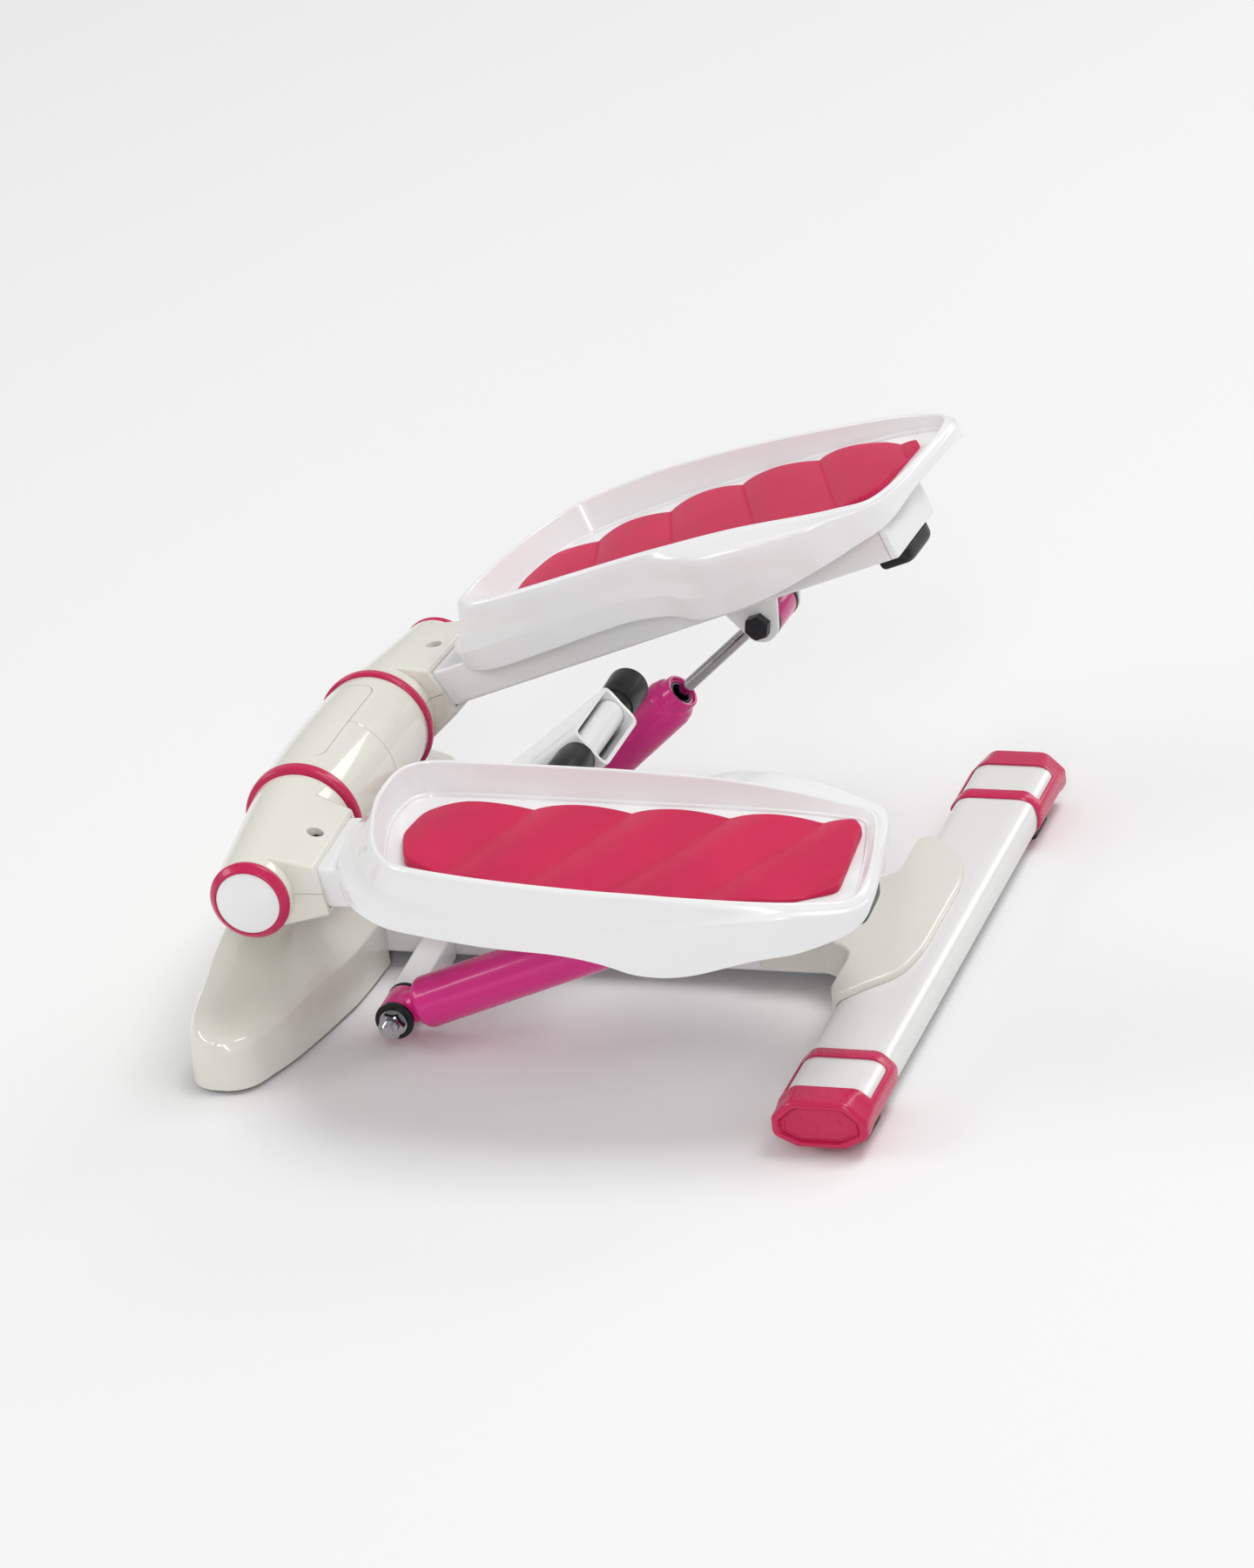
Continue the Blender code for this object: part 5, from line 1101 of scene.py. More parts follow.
def make_collar(side):
    """The box mouth round the arm leaves the cone along its tangents, so both flow into one another."""
    top = Vector((COLLAR_TOP_A, ARM_TOP + TOUCH_GAP + COLLAR_WALL))
    bottom = Vector((COLLAR_BOTTOM_A, ARM_BOTTOM - TOUCH_GAP - COLLAR_WALL))
    drops = [(inset, COLLAR_ROUND - along) for along, inset in quarter_turn(COLLAR_ROUND, 5)]
    stops = [(COLLAR_IN_B + along, drop) for along, drop in drops] + [(b, 0.0) for b in COLLAR_STOPS]
    stops += [(COLLAR_OUT_B - along, drop) for along, drop in reversed(drops)]
    loops = []
    for b, drop in stops:
        radius = hub_radius(b) - TANGENT_DROP
        high = top - Vector((0, drop))
        low = bottom + Vector((0, drop))
        corners = ((0.0, 0.0), tangent_point(high, radius, 1), (*high, COLLAR_CORNER), (*low, COLLAR_CORNER),
                   tangent_point(low, radius, -1))
        loops.append([pedal_point(side, a, b, c) for a, c in fillet(corners, HAIR_EDGE, 5)])
    return loft(loops)


def hub_blank(side):
    """The hub's cone with its box mouth, hollowed for the hub tube, the axle's head and the arm."""
    end = HUB_HALF_LENGTH
    profile = [(-end, hub_radius(-end) - END_DROP), (END_DROP - end, hub_radius(END_DROP - end)),
               (end - END_DROP, hub_radius(end - END_DROP)), (end, hub_radius(end) - END_DROP)]
    cover = turned(profile, (0, 0, 0), (side, 0, 0), closed=False)
    cover = carve(cover, make_collar(side), "UNION")
    shut = end - HUB_END_WALL
    mouth = -end - BEYOND
    head = AXLE_HEAD_RADIUS + HEAD_ROOM
    cavity = ((mouth, hub_radius(mouth) - HUB_COVER_WALL), (shut, hub_radius(shut) - HUB_COVER_WALL),
              (shut, head), (end + BEYOND, head))
    cover = carve(cover, turned(cavity, (0, 0, 0), (side, 0, 0), closed=False))
    room = (ARM_IN_B - TOUCH_GAP, ARM_OUT_B + TOUCH_GAP)
    height = (ARM_BOTTOM - TOUCH_GAP, ARM_TOP + TOUCH_GAP)
    return carve(cover, pedal_box(side, (MOUTH_START_A, HUB_CLEAR), room, height))


def make_hub_covers(name, side):
    clear = (-HUB_CLEAR, HUB_CLEAR)
    seat = ARM_TOP + TOUCH_GAP
    for half, low, high in (("upper", SPLIT_GAP / 2, HUB_CLEAR), ("lower", -HUB_CLEAR, -SPLIT_GAP / 2)):
        cover = carve(hub_blank(side), pedal_box(side, clear, clear, (low, high)), "INTERSECT")
        if half == "upper":
            ends = [pedal_point(side, SCREW_A, SCREW_B, c) for c in (ARM_TOP - BEYOND, HUB_CLEAR)]
            cover = carve(cover, peg(ends, SCREW_HOLE_RADIUS, 32, (0, 0, 1)))
        put_pair(name, f"hub_shell_{half}", cover, "pedal", "ivory_plastic", f"hub_cover_{half}",
                 bevel=SMALL_EDGE)
    origin = pedal_point(side, SCREW_A, SCREW_B, seat)
    head = lathe(SCREW_PROFILE, origin, (0, 0, 1), SMALL_EDGE, SMALL_ROUND, closed=False)
    top = seat + SCREW_PROFILE[-1][0]
    for length, width in ((CROSS_LENGTH, CROSS_WIDTH), (CROSS_WIDTH, CROSS_LENGTH)):
        along = (SCREW_A - length / 2, SCREW_A + length / 2)
        wide = (SCREW_B - width / 2, SCREW_B + width / 2)
        head = carve(head, pedal_box(side, along, wide, (top - CROSS_DEPTH, top + BEYOND)))
    put_pair(name, "hub_screw", head, "pedal", "steel")


def make_hub_end(name, side):
    start = HUB_HALF_LENGTH + TOUCH_GAP
    front = start + END_RING_LENGTH
    seat = front - DOME_SEAT
    bore = AXLE_HEAD_RADIUS + END_RING_SLACK
    lip = DOME_RADIUS + TOUCH_GAP
    side_view = [(start + along, END_RING_RADIUS + swell, radius) for along, swell, radius in END_RING_SIDE]
    along, rise, radius = END_RING_BROW
    profile = ((start, bore), *side_view, (front - along, DOME_RADIUS + rise, radius), (front, lip),
               (seat, lip), (seat, bore))
    end_ring = lathe(profile, (0, 0, 0), (side, 0, 0), FINE_EDGE)
    put_pair(name, "hub_ring", end_ring, "pedal", "pink_plastic", "end_ring")
    rim = front - END_DROP
    profile = [(seat + TOUCH_GAP, DOME_RADIUS)]
    for step in range(DOME_STEPS):
        share = 1 - step / DOME_STEPS
        profile.append((rim + DOME_RISE * (1 - share ** DOME_FULLNESS), DOME_RADIUS * share))
    dome = turned(profile, (0, 0, 0), (side, 0, 0), closed=False)
    put_pair(name, "hub_dome", dome, "pedal", "white_plastic", "end_dome")


# Pedal arm, tray and pad
def arm_outline(inset=0.0):
    radius = max(ARM_CORNER - inset, ARM_LEAST_CORNER)
    return rectangle(ARM_IN_B + inset, ARM_OUT_B - inset, ARM_BOTTOM + inset, ARM_TOP - inset, radius, 6)


def bumper(side):
    top = ARM_BOTTOM - TOUCH_GAP
    bottom = top - BUMPER_DEPTH
    rear = BUMPER_REAR_A - BUMPER_SHY
    outline = ((BUMPER_FRONT_A, top), (BUMPER_FRONT_A, bottom, 0.006), (rear, bottom, 0.0065),
               (rear, top, 0.0012), (rear - 0.002, top))
    section = fillet(outline, EDGE, 8)
    core = Vector(((BUMPER_FRONT_A + BUMPER_REAR_A) / 2, top))
    half_width = (BUMPER_OUT_B - BUMPER_IN_B - BUMPER_SHY) / 2
    loops = []
    for step in range(BUMPER_STEPS + 1):
        share = 2 * step / BUMPER_STEPS - 1
        full = BUMPER_END_SHARE + (1 - BUMPER_END_SHARE) * (1 - abs(share) ** 6) ** 0.5
        b = (BUMPER_IN_B + BUMPER_OUT_B) / 2 + share * half_width
        scaled = [core + (point - core) * full for point in section]
        loops.append([pedal_point(side, a, b, c) for a, c in scaled])
    return loft(loops)


def make_arm(name, side):
    arm = tube(arm_outline(), arm_outline(ARM_WALL), (ARM_FRONT_A, ARM_REAR_A),
               lambda outline, a: across(side, outline, a))
    put_pair(name, "arm_tube", arm, "pedal", "white_paint", "arm")
    seat = ARM_REAR_A + TOUCH_GAP
    inset = ARM_WALL + TOUCH_GAP
    stops = [(seat - PLUG_INSERT, inset), (seat, inset)] + [(seat + along, gap) for along, gap in PLUG_SIDE]
    plug = loft([across(side, arm_outline(gap), a) for a, gap in stops])
    put_pair(name, "plug", plug, "pedal", "white_plastic", "arm_plug")
    put_pair(name, "bumper", bumper(side), "pedal", "black_rubber", "arm_bumper")


def floor_height(a):
    slope = (FLOOR_HEEL_HEIGHT - FLOOR_TOE_HEIGHT) / (FLOOR_HEEL_A - FLOOR_TOE_A)
    return FLOOR_TOE_HEIGHT + (a - FLOOR_TOE_A) * slope


def tray_section(station):
    """(inset, height above the pivot) pairs from the floor over the rim to the skirt's inner side."""
    rim, high, top, low, crease, out, skirt = station[2:]
    floor = floor_height(station[0])
    step = floor + STEP_HEIGHT
    ledge = LEDGE_INSET - STEP_LEAN
    waist = high + (low - high) * WAIST_REACH
    waist_height = top + (crease - top) * WAIST_DROP
    bulge = CREASE_ROUND + CREASE_SWELL * max(low - high, 0)
    hem = skirt + HEM_LIFT
    points = (
        (LEDGE_INSET + 0.0008, floor), (LEDGE_INSET, floor, LEDGE_ROUND), (ledge, step - 0.0003, LEDGE_ROUND),
        (ledge - STEP_TREAD, step, STEP_ROUND), (RIM_INNER_INSET, rim - RIM_HOLLOW, RIM_FOOT_ROUND),
        (RIM_INNER_INSET - 0.0006, rim, RIM_INNER_ROUND), (RIM_OUTER_INSET + 0.0004, rim, RIM_OUTER_ROUND),
        (0.0, rim - RIM_EDGE_DROP, RIM_DROP_ROUND), (-high, top, WALL_TOP_ROUND),
        (-waist, waist_height, WAIST_ROUND), (-low, crease, bulge), (-out, hem, HEM_ROUND),
        (TRAY_WALL / 2 - out, skirt - 0.0001, HEM_TIP_ROUND), (TRAY_WALL - out, hem, HEM_ROUND),
        (TRAY_WALL - low, crease - SHOULDER_DROP / 2, INSIDE_ROUND),
        (TRAY_WALL - waist, waist_height - SHOULDER_DROP * 3 / 4, INSIDE_WAIST_ROUND),
        (TRAY_WALL - high, top - SHOULDER_DROP, INSIDE_ROUND), (FLOOR_WALL_INSET, floor - FLOOR_THICKNESS),
    )
    return fillet(points, EDGE, 4)


def tray_shell(side):
    stations = smooth_row(TRAY_STATIONS, TRAY_FINE, closed=True)
    plan = [station[:2] for station in stations]
    normals = [point - Vector(old) for point, old in zip(inward(plan, 1), plan)]
    sections = [tray_section(station) for station in stations]
    layers = len(sections[0])
    loops = []
    for layer in range(layers):
        loop = []
        for (a, b), normal, section in zip(plan, normals, sections):
            inset, height = section[layer]
            a_here = a + normal.x * inset
            if layer <= FLOOR_LAYERS or layer == layers - 1:
                height += floor_height(a_here) - floor_height(a)
            loop.append(pedal_point(side, a_here, b + normal.y * inset, height))
        loops.append(loop)
    return loft(loops)


def make_tray(name, side):
    span = (0.0, ARM_REAR_A + 2 * TOUCH_GAP + PLUG_THICKNESS)
    foot = ARM_TOP + TOUCH_GAP
    arm_room = pedal_box(side, span, (ARM_IN_B - TOUCH_GAP, ARM_OUT_B + TOUCH_GAP), (ARM_BOTTOM, foot))
    tray = carve(tray_shell(side), arm_room)
    roof = [(a, floor_height(a) - FLOOR_THICKNESS / 2) for a in (RAIL_END_A, RAIL_START_A)]
    outline = ((RAIL_START_A, foot), (RAIL_END_A, foot), *roof)
    for b in (ARM_IN_B + RAIL_INSET, ARM_OUT_B - RAIL_INSET - RAIL_THICKNESS):
        tray = carve(tray, prism(side, outline, b, b + RAIL_THICKNESS), "UNION")
    put_pair(name, "tray", tray, "pedal", "white_plastic", "footplate")


def wave_height(a, b):
    """Height of the pad's upper side: an arch from each slanting valley to the next."""
    share = (b - VALLEY_B_IN) / (VALLEY_B_OUT - VALLEY_B_IN)
    valleys = [inner + (outer - inner) * share for inner, outer in zip(VALLEYS_IN, VALLEYS_OUT)]
    part = 0.5
    for first, second in zip(valleys, valleys[1:]):
        if first <= a <= second:
            part = (a - first) / (second - first)
    arch = math.sin(math.pi * part ** WAVE_LEAN) ** WAVE_FULLNESS if 0 < part < 1 else 0.0
    return floor_height(a) + TOUCH_GAP + WAVE_LOW + (WAVE_HIGH - WAVE_LOW) * arch


def pad_sides():
    """The pad's four sides, evenly divided: inner, heel, outer and toe, from the toe or the inner side."""
    outline = inward(softened(rounded(PAD_OUTLINE, 14), PAD_SOFTENING), PAD_ROUND)
    marks = [min(range(len(outline)), key=lambda index: (outline[index] - Vector(corner)).length)
             for corner in PAD_CORNERS]
    sides = []
    for first, last, parts in zip(marks, marks[1:] + marks[:1], (PAD_LONG, PAD_WIDE) * 2):
        span = (last - first) % len(outline)
        sides.append(resample([outline[(first + step) % len(outline)] for step in range(span + 1)], parts))
    return sides[0], sides[1], sides[2][::-1], sides[3][::-1]


def pad_grid():
    """Points spread evenly between the pad's four sides."""
    inner, heel, outer, toe = pad_sides()
    grid = []
    for i in range(PAD_LONG + 1):
        u = i / PAD_LONG
        row = []
        for j in range(PAD_WIDE + 1):
            v = j / PAD_WIDE
            point = inner[i] * (1 - v) + outer[i] * v + toe[j] * (1 - u) + heel[j] * u
            corners = (toe[0] * (1 - v) + toe[-1] * v) * (1 - u) + (heel[0] * (1 - v) + heel[-1] * v) * u
            row.append(point - corners)
        grid.append(row)
    return grid


def make_pad(name, side):
    """A patch between the four sides of the outline, with a rounded edge and a flat underside."""
    grid = pad_grid()
    mesh = bmesh.new()

    def vertex(point, height):
        return mesh.verts.new(pedal_point(side, *point, height))

    top = [[vertex(point, wave_height(*point)) for point in row] for row in grid]
    for row, following in zip(top, top[1:]):
        for j in range(PAD_WIDE):
            mesh.faces.new((row[j], following[j], following[j + 1], row[j + 1]))
    edge = [(i, 0) for i in range(PAD_LONG)] + [(PAD_LONG, j) for j in range(PAD_WIDE)]
    edge += [(i, PAD_WIDE) for i in range(PAD_LONG, 0, -1)] + [(0, j) for j in range(PAD_WIDE, 0, -1)]
    rim = [grid[i][j] for i, j in edge]
    rows = [[top[i][j] for i, j in edge]]
    for reach, drop in quarter_turn(PAD_ROUND, 3)[1:]:
        rows.append([vertex(point, wave_height(*old) - drop) for point, old in zip(inward(rim, -reach), rim)])
    rows.append([vertex(point, floor_height(point.x) + TOUCH_GAP) for point in inward(rim, -PAD_ROUND)])
    for first, second in zip(rows, rows[1:]):
        skin(mesh, first, second)
    mesh.faces.new(rows[-1][::-1])
    pad = put_pair(name, "pad", mesh, "pedal", "pad_rubber", "foot_pad")


# Damper mountings
def make_lug(name, side):
    top = ARM_BOTTOM - TOUCH_GAP
    turns = [math.radians(200 + 140 * step / LUG_STEPS) for step in range(LUG_STEPS + 1)]
    outline = [(UPPER_EYE_A - LUG_TOP_HALF, top)]
    outline += [(UPPER_EYE_A + LUG_ROUND * math.cos(t), UPPER_EYE_C + LUG_ROUND * math.sin(t)) for t in turns]
    outline += [(UPPER_EYE_A + LUG_TOP_HALF, top)]
    half = LUG_INNER_HALF + LUG_PLATE
    roof = max(UPPER_EYE_C + UPPER_FLANGE_RADIUS + LUG_ROOF_GAP, top - LUG_ROOF)
    clear = (UPPER_EYE_A - 2 * LUG_TOP_HALF, UPPER_EYE_A + 2 * LUG_TOP_HALF)
    room = pedal_box(side, clear, (-LUG_INNER_HALF, LUG_INNER_HALF), (UPPER_EYE_C - 2 * LUG_ROUND, roof))
    lug = carve(prism(side, outline, -half, half), room)
    reach = [pedal_point(side, UPPER_EYE_A, b, UPPER_EYE_C) for b in (-half - BEYOND, half + BEYOND)]
    lug = carve(lug, peg(reach, BOLT_RADIUS + RUNNING_GAP, SMALL_ROUND))
    put_pair(name, "lug", lug, "pedal", "white_paint", "damper_lug", bevel=EDGE)
    seat = half + TOUCH_GAP
    centre = pedal_point(side, UPPER_EYE_A, 0, UPPER_EYE_C)
    shank = seat + BOLT_OVERLAP
    profile = ((-shank, BOLT_RADIUS), (shank, BOLT_RADIUS))
    bolt = turned(profile, centre, (side, 0, 0), SMALL_ROUND, closed=False)
    for end in (-side, side):
        bolt = carve(bolt, hex_nut(centre + Vector((end * seat, 0, 0)), (end, 0, 0)), "UNION")
    put_pair(name, "bolt", bolt, "pedal", "black_steel", "lug_bolt")


def hex_nut(origin, axis):
    """A hexagon with its outer corners turned down to a cone."""
    loops = []
    for along in (0, NUT_HEIGHT):
        centre = origin + Vector(axis) * along
        loop = []
        for index, point in enumerate(ring(centre, axis, NUT_HALF, MIDDLE_ROUND)):
            turn = 2 * math.pi * index / MIDDLE_ROUND
            part = (turn + math.pi / 6) % (math.pi / 3) - math.pi / 6
            loop.append(centre + (point - centre) / math.cos(part))
        loops.append(loop)
    clear = NUT_HALF * NUT_CLEAR_SHARE
    cone = ((-NUT_CHAMFER, clear), (NUT_HEIGHT - NUT_CHAMFER, clear),
            (NUT_HEIGHT + 0.0001, NUT_HALF * NUT_FACE_SHARE))
    return carve(loft(loops), turned(cone, origin, axis, MIDDLE_ROUND, closed=False), "INTERSECT")


def damper_angle(pitch):
    a = UPPER_EYE_A * math.cos(pitch) - UPPER_EYE_C * math.sin(pitch)
    c = UPPER_EYE_A * math.sin(pitch) + UPPER_EYE_C * math.cos(pitch)
    return math.atan2(c - LOWER_EYE_C, a - LOWER_EYE_A)


def spool(half, flange, bore, side):
    """A rubber bush in an eye, with a flange at each end."""
    core = EYE_BORE - TOUCH_GAP
    inner = half + TOUCH_GAP
    outer = inner + FLANGE_RUBBER
    profile = ((-outer, bore), (-outer, flange), (-inner, flange), (-inner, core),
               (inner, core), (inner, flange), (outer, flange), (outer, bore))
    return lathe(profile, (0, 0, 0), (side, 0, 0), SPOOL_EDGE, MIDDLE_ROUND)


def eye_barrel(half):
    profile = ((-half, EYE_CORE), (-half, EYE_RADIUS), (half, EYE_RADIUS), (half, EYE_CORE))
    return lathe(profile, (0, 0, 0), (1, 0, 0), FULL_EDGE, MIDDLE_ROUND, closed=False)


def eye_hole():
    return peg([(-2 * UPPER_EYE_HALF, 0, 0), (2 * UPPER_EYE_HALF, 0, 0)], EYE_BORE)


def make_damper_body(name, side, angle):
    body = "damper_body"
    place = (hub_place(name) @ Matrix.Translation(pedal_point(side, LOWER_EYE_A, 0, LOWER_EYE_C))
             @ Matrix.Rotation(-angle, 4, "X"))
    neck = BODY_TOP - BODY_NECK_LENGTH
    mouth = BODY_TOP - GLAND_DEPTH
    profile = ((BODY_STEM_RADIUS / 2, BODY_STEM_RADIUS), (BODY_START - TOUCH_GAP, BODY_STEM_RADIUS, 0.001),
               (BODY_START, BODY_START_RADIUS - 0.001, 0.0012), (BODY_SHOULDER + 0.0012, BODY_RADIUS, 0.005),
               (neck - BODY_STEP - BODY_CHAMFER, BODY_RADIUS, 0.006),
               (neck - BODY_STEP, BODY_RADIUS - BODY_STEP, 0.001),
               (neck, BODY_NECK_RADIUS + BODY_STEP / 2, 0.0008), (BODY_TOP, BODY_NECK_RADIUS, 0.0012),
               (BODY_TOP, GLAND_RADIUS, 0.0003), (mouth, GLAND_RADIUS - 0.0006, 0.0003),
               (mouth, BODY_BORE, 0.0002), (BORE_START, BODY_BORE))
    shell = lathe(profile, (0, 0, 0), (0, -1, 0), SMALL_EDGE, closed=False, steps=5)
    shell = carve(carve(shell, eye_barrel(LOWER_EYE_HALF), "UNION"), eye_hole())
    put_pair(name, "damper_tube", shell, body, "magenta_paint", "damper_body", place)
    seal_back, seal_front = BODY_TOP - SEAL_DEPTH, BODY_TOP - SEAL_DROP
    inner, outer = BODY_BORE - SEAL_WALL, BODY_BORE - TOUCH_GAP
    lining = ((seal_back, inner), (seal_back, outer), (seal_front, outer), (seal_front, inner, 0.0006))
    seal = lathe(lining, (0, 0, 0), (0, -1, 0), HAIR_EDGE, MIDDLE_ROUND)
    put_pair(name, "seal", seal, body, "black_rubber", place=place)
    bush = spool(LOWER_EYE_HALF, LOWER_RUBBER, STUD_RADIUS + RUNNING_GAP, side)
    put_pair(name, "base_bush", bush, body, "black_rubber", "damper_bush", place)


def make_damper_rod(name, side, angle):
    body = "damper_rod"
    place = (pedal_place(name) @ Matrix.Translation(pedal_point(side, UPPER_EYE_A, 0, UPPER_EYE_C))
             @ Matrix.Rotation(REST_PITCH[name] - angle, 4, "X"))
    eye = carve(eye_barrel(UPPER_EYE_HALF), eye_hole())
    put_pair(name, "rod_eye", eye, body, "magenta_paint", "damper_rod", place)
    stem = ((EYE_RADIUS - 0.002, ROD_RADIUS), (EYE_RADIUS + 0.0004, ROD_COLLAR_RADIUS, 0.0004),
            (EYE_RADIUS + 0.0040, ROD_COLLAR_RADIUS, 0.0006), (EYE_RADIUS + 0.0048, ROD_RADIUS, 0.0002),
            (ROD_LENGTH - END_DROP, ROD_RADIUS), (ROD_LENGTH, ROD_RADIUS - END_DROP))
    rod = lathe(stem, (0, 0, 0), (0, 1, 0), HAIR_EDGE, MIDDLE_ROUND, closed=False)
    put_pair(name, "rod", rod, body, "chrome", "damper_rod", place)
    bush = spool(UPPER_EYE_HALF, UPPER_FLANGE_RADIUS, BOLT_RADIUS + RUNNING_GAP, side)
    put_pair(name, "top_bush", bush, body, "black_rubber", "rod_bush", place)


def make_damper(name, side):
    angle = damper_angle(REST_PITCH[name])
    make_damper_body(name, side, angle)
    make_damper_rod(name, side, angle)


def stud(side, start, washer):
    """The stud from the carrier through the damper's eye, with washer, nut and thread."""
    nut = washer + WASHER_THICKNESS
    tip = nut + NUT_HEIGHT
    foot = STUD_RADIUS + SPACER_WALL
    profile = [(start, foot), (-washer, foot), (-washer, STUD_RADIUS), (washer, STUD_RADIUS),
               (washer, LOWER_WASHER), (nut, LOWER_WASHER), (nut, STUD_CORE_RADIUS), (tip, STUD_CORE_RADIUS)]
    for turn in range(round(THREAD_LENGTH / THREAD_PITCH) - 1):
        valley = tip + THREAD_PITCH * (turn + 0.5)
        profile += [(valley, STUD_CORE_RADIUS - THREAD_CUT), (valley + THREAD_PITCH / 2, STUD_CORE_RADIUS)]
    profile.append((tip + THREAD_LENGTH, STUD_CORE_RADIUS - THREAD_END_DROP))
    origin = pedal_point(side, LOWER_EYE_A, 0, LOWER_EYE_C)
    shank = turned(profile, origin, (side, 0, 0), MIDDLE_ROUND, closed=False)
    return carve(shank, hex_nut(origin + Vector((side * nut, 0, 0)), (side, 0, 0)), "UNION")


def make_carrier(name, side):
    place = hub_place(name)
    flange = LOWER_EYE_HALF + TOUCH_GAP + FLANGE_RUBBER
    end = -flange - CARRIER_SEAT
    loops = [[], []]
    for u, v in rectangle(-CARRIER_HALF, CARRIER_HALF, -CARRIER_HALF, CARRIER_HALF, CARRIER_CORNER, 6):
        a = LOWER_EYE_A + u
        reach = (HUB_X - BEAM_HALF_WIDTH - TOUCH_GAP - a * math.sin(SPLAY)) / math.cos(SPLAY)
        loops[0].append(pedal_point(side, a, -reach, LOWER_EYE_C + v))
        loops[1].append(pedal_point(side, a, end, LOWER_EYE_C + v))
    put_pair(name, "carrier", loft(loops), "frame", "white_paint", "damper_carrier", place, bevel=EDGE)
    threaded = stud(side, end + TOUCH_GAP, flange + TOUCH_GAP)
    put_pair(name, "stud", threaded, "frame", "chrome", "damper_stud", place)


# Centre post and cross shaft
def post_section(along, inset=0.0):
    """The post's section at a distance along it from its mouth."""
    width, half = POST_HALF_WIDTH - inset, POST_DEPTH / 2 - inset
    section = rectangle(-width, width, -half, half, POST_CORNER - inset, 8)
    return [POST_MOUTH + POST_AXIS * along + Vector((u, 0, 0)) + POST_NORMAL * v for u, v in section]


def make_centre_post():
    slope = math.tan(POST_ANGLE)
    wide = POST_HALF_WIDTH
    upper = Vector((POST_TOP_Y, POST_TOP_Z))
    lower = upper - Vector((math.sin(POST_ANGLE), math.cos(POST_ANGLE))) * POST_DEPTH
    floor = BEAM_TOP + TOUCH_GAP
    foot_rear = lower.x + (lower.y - floor) / slope
    foot_top = Vector((POST_FRONT_Y, upper.y - (POST_FRONT_Y - upper.x) * slope))
    outline = (upper, foot_top, (POST_FRONT_Y, floor), (foot_rear, floor), lower)
    block = loft([along_x(outline, x) for x in (-wide, wide)])
    length = (upper - foot_top).length + POST_PAST
    post = carve(loft([post_section(0), post_section(length)]), block, "INTERSECT")
    post = carve(post, loft([post_section(-CUT_MARGIN, POST_WALL), post_section(POST_HOLLOW, POST_WALL)]))
    reach = [SHAFT_CENTRE + Vector((x, 0, 0)) for x in (-wide - CUT_MARGIN, wide + CUT_MARGIN)]
    post = carve(post, peg(reach, SHAFT_RADIUS + RUNNING_GAP))
    put("post_tube", post, "frame", "white_paint", ("centre_post",), bevel=FINE_EDGE)
    bead = []
    for step in range(WELD_STEPS + 1):
        x = -wide + 2 * wide * step / WELD_STEPS
        swell = WELD_RADIUS + WELD_RIPPLE * math.sin(step * WELD_PACE)
        turns = [2 * math.pi * k / WELD_ROUND for k in range(WELD_ROUND)]
        loop = [(foot_rear + swell * math.cos(t) * WELD_SQUASH, floor + swell * math.sin(t)) for t in turns]
        bead.append(along_x(loop, x))
    put("post_weld", loft(bead), "frame", "white_paint")


def make_cross_shaft():
    end = SHAFT_HALF_LENGTH
    small = SHAFT_RADIUS - END_DROP
    profile = ((-end, small), (END_DROP - end, SHAFT_RADIUS), (end - END_DROP, SHAFT_RADIUS), (end, small))
    shaft = turned(profile, SHAFT_CENTRE, (1, 0, 0), MIDDLE_ROUND, closed=False)
    put("shaft", shaft, "frame", "white_paint", ("cross_shaft",))
    bore = SHAFT_RADIUS + TOUCH_GAP
    start = POST_HALF_WIDTH + TOUCH_GAP
    step = start + SLEEVE_COLLAR_LENGTH
    profile = ((start, bore), (start, SLEEVE_COLLAR_RADIUS), (step, SLEEVE_COLLAR_RADIUS),
               (step, SLEEVE_RADIUS), (SLEEVE_OUTER_X, SLEEVE_END_RADIUS), (SLEEVE_OUTER_X, bore))
    for name, side in SIDES.items():
        sleeve = lathe(profile, SHAFT_CENTRE, (side, 0, 0), SLEEVE_EDGE, MIDDLE_ROUND)
        put_pair(name, "sleeve", sleeve, "frame", "black_rubber", "shaft_sleeve")


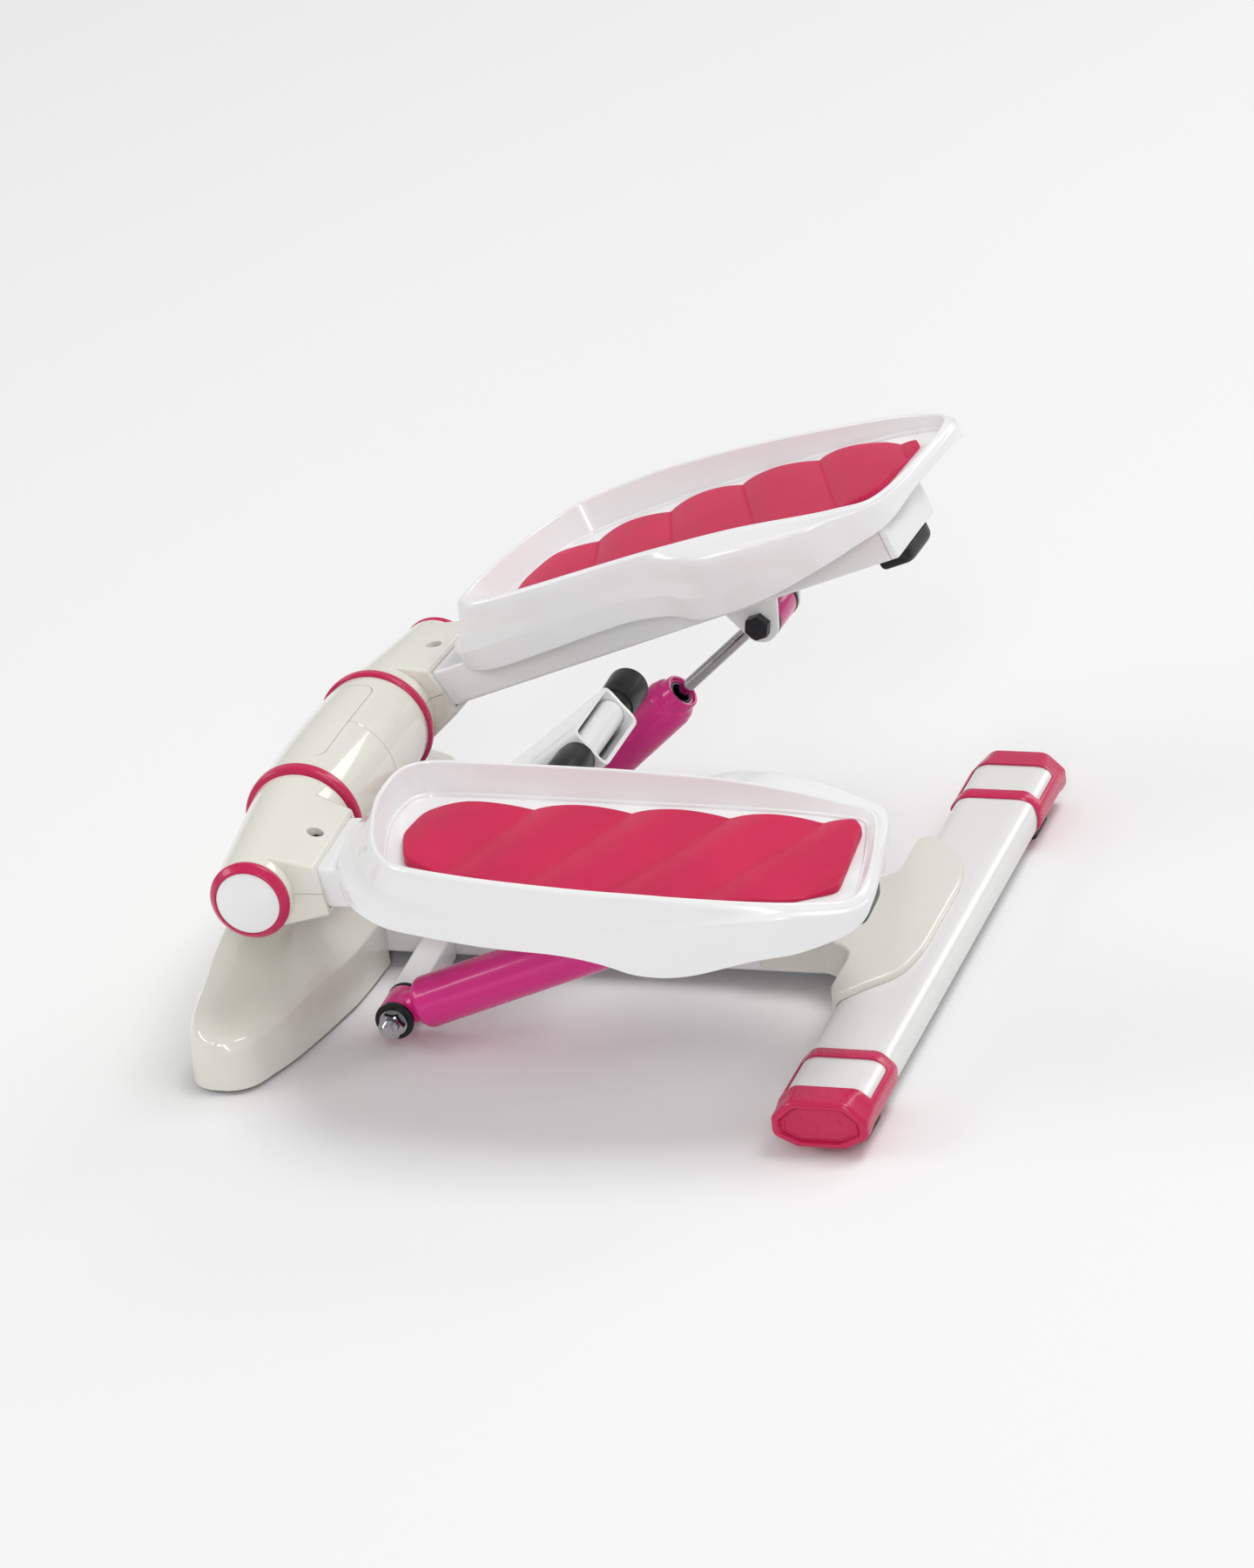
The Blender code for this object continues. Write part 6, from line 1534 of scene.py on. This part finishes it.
# Studio
def make_floor():
    mesh = bmesh.new()
    corners = ((-1, -1), (1, -1), (1, 1), (-1, 1))
    mesh.faces.new([mesh.verts.new((x * FLOOR_HALF, y * FLOOR_HALF, 0)) for x, y in corners])
    data = bpy.data.meshes.new("floor")
    mesh.to_mesh(data)
    mesh.free()
    floor = add_object("floor", data)
    material = bpy.data.materials.new("floor")
    material.use_nodes = True
    set_inputs(material.node_tree.nodes["Principled BSDF"], Base_Color=(FLOOR_SHADE,) * 3 + (1,),
               Roughness=0.9, Specular_IOR_Level=0.1)
    floor.data.materials.append(material)
    floor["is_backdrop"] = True


def make_lights():
    for name, place, width, height, power in LAMPS:
        lamp = bpy.data.lights.new(name, "AREA")
        lamp.shape = "RECTANGLE"
        lamp.size = width
        lamp.size_y = height
        lamp.energy = power
        item = add_object(name, lamp)
        item.location = place
        item.rotation_euler = (CAMERA_TARGET - Vector(place)).to_track_quat("-Z", "Y").to_euler()
    world = bpy.data.worlds.new("studio")
    world.use_nodes = True
    set_inputs(world.node_tree.nodes["Background"], Color=(1, 1, 1, 1), Strength=SKY_STRENGTH)
    bpy.context.scene.world = world
    bpy.context.scene.view_settings.view_transform = "Standard"


def make_camera():
    rear, far, up = Vector((0, -1, 0)), Vector((1, 0, 0)), Vector((0, 0, 1))
    right = math.cos(CAMERA_AZIMUTH) * rear + math.sin(CAMERA_AZIMUTH) * far
    level = -math.sin(CAMERA_AZIMUTH) * rear + math.cos(CAMERA_AZIMUTH) * far
    forward = level * math.cos(CAMERA_PITCH) - up * math.sin(CAMERA_PITCH)
    top = level * math.sin(CAMERA_PITCH) + up * math.cos(CAMERA_PITCH)
    rolled_right = right * math.cos(CAMERA_ROLL) + top * math.sin(CAMERA_ROLL)
    rolled_top = -right * math.sin(CAMERA_ROLL) + top * math.cos(CAMERA_ROLL)
    data = bpy.data.cameras.new("camera")
    data.sensor_fit = "VERTICAL"
    data.sensor_height = SENSOR
    data.lens = FOCAL_PIXELS / IMAGE_HEIGHT * SENSOR
    data.clip_start = 0.1
    data.clip_end = 40
    camera = add_object("camera", data)
    matrix = Matrix((rolled_right, rolled_top, -forward)).transposed().to_4x4()
    matrix.translation = CAMERA_TARGET - forward * CAMERA_DISTANCE
    camera.matrix_world = matrix
    bpy.context.scene.camera = camera


def dress_carried_nodes(frame):
    """The solids that stay as they are get their slot's finish."""
    slots = {row["node"]: row["material_slot"] for row in frame["record"]["subparts"]}
    for name, node in frame["nodes"].items():
        node.data.materials.clear()
        node.data.materials.append(finish_material(slots[name]))


def main():
    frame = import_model()
    solid_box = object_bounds()
    dress_carried_nodes(frame)
    for make in (make_rear_bar, make_rear_caps, make_centre_beam, make_rear_cover, make_front_cover,
                 make_drum, make_drum_rings, make_centre_post, make_cross_shaft):
        make()
    for name, side in SIDES.items():
        for make in (make_hub_covers, make_hub_end, make_arm, make_tray, make_pad, make_lug, make_damper,
                     make_carrier):
            make(name, side)
    make_floor()
    make_lights()
    make_camera()
    boxes = {"cad": solid_box, "visual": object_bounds()}
    boxes = {name: [[float(value) for value in corner] for corner in box] for name, box in boxes.items()}


main()
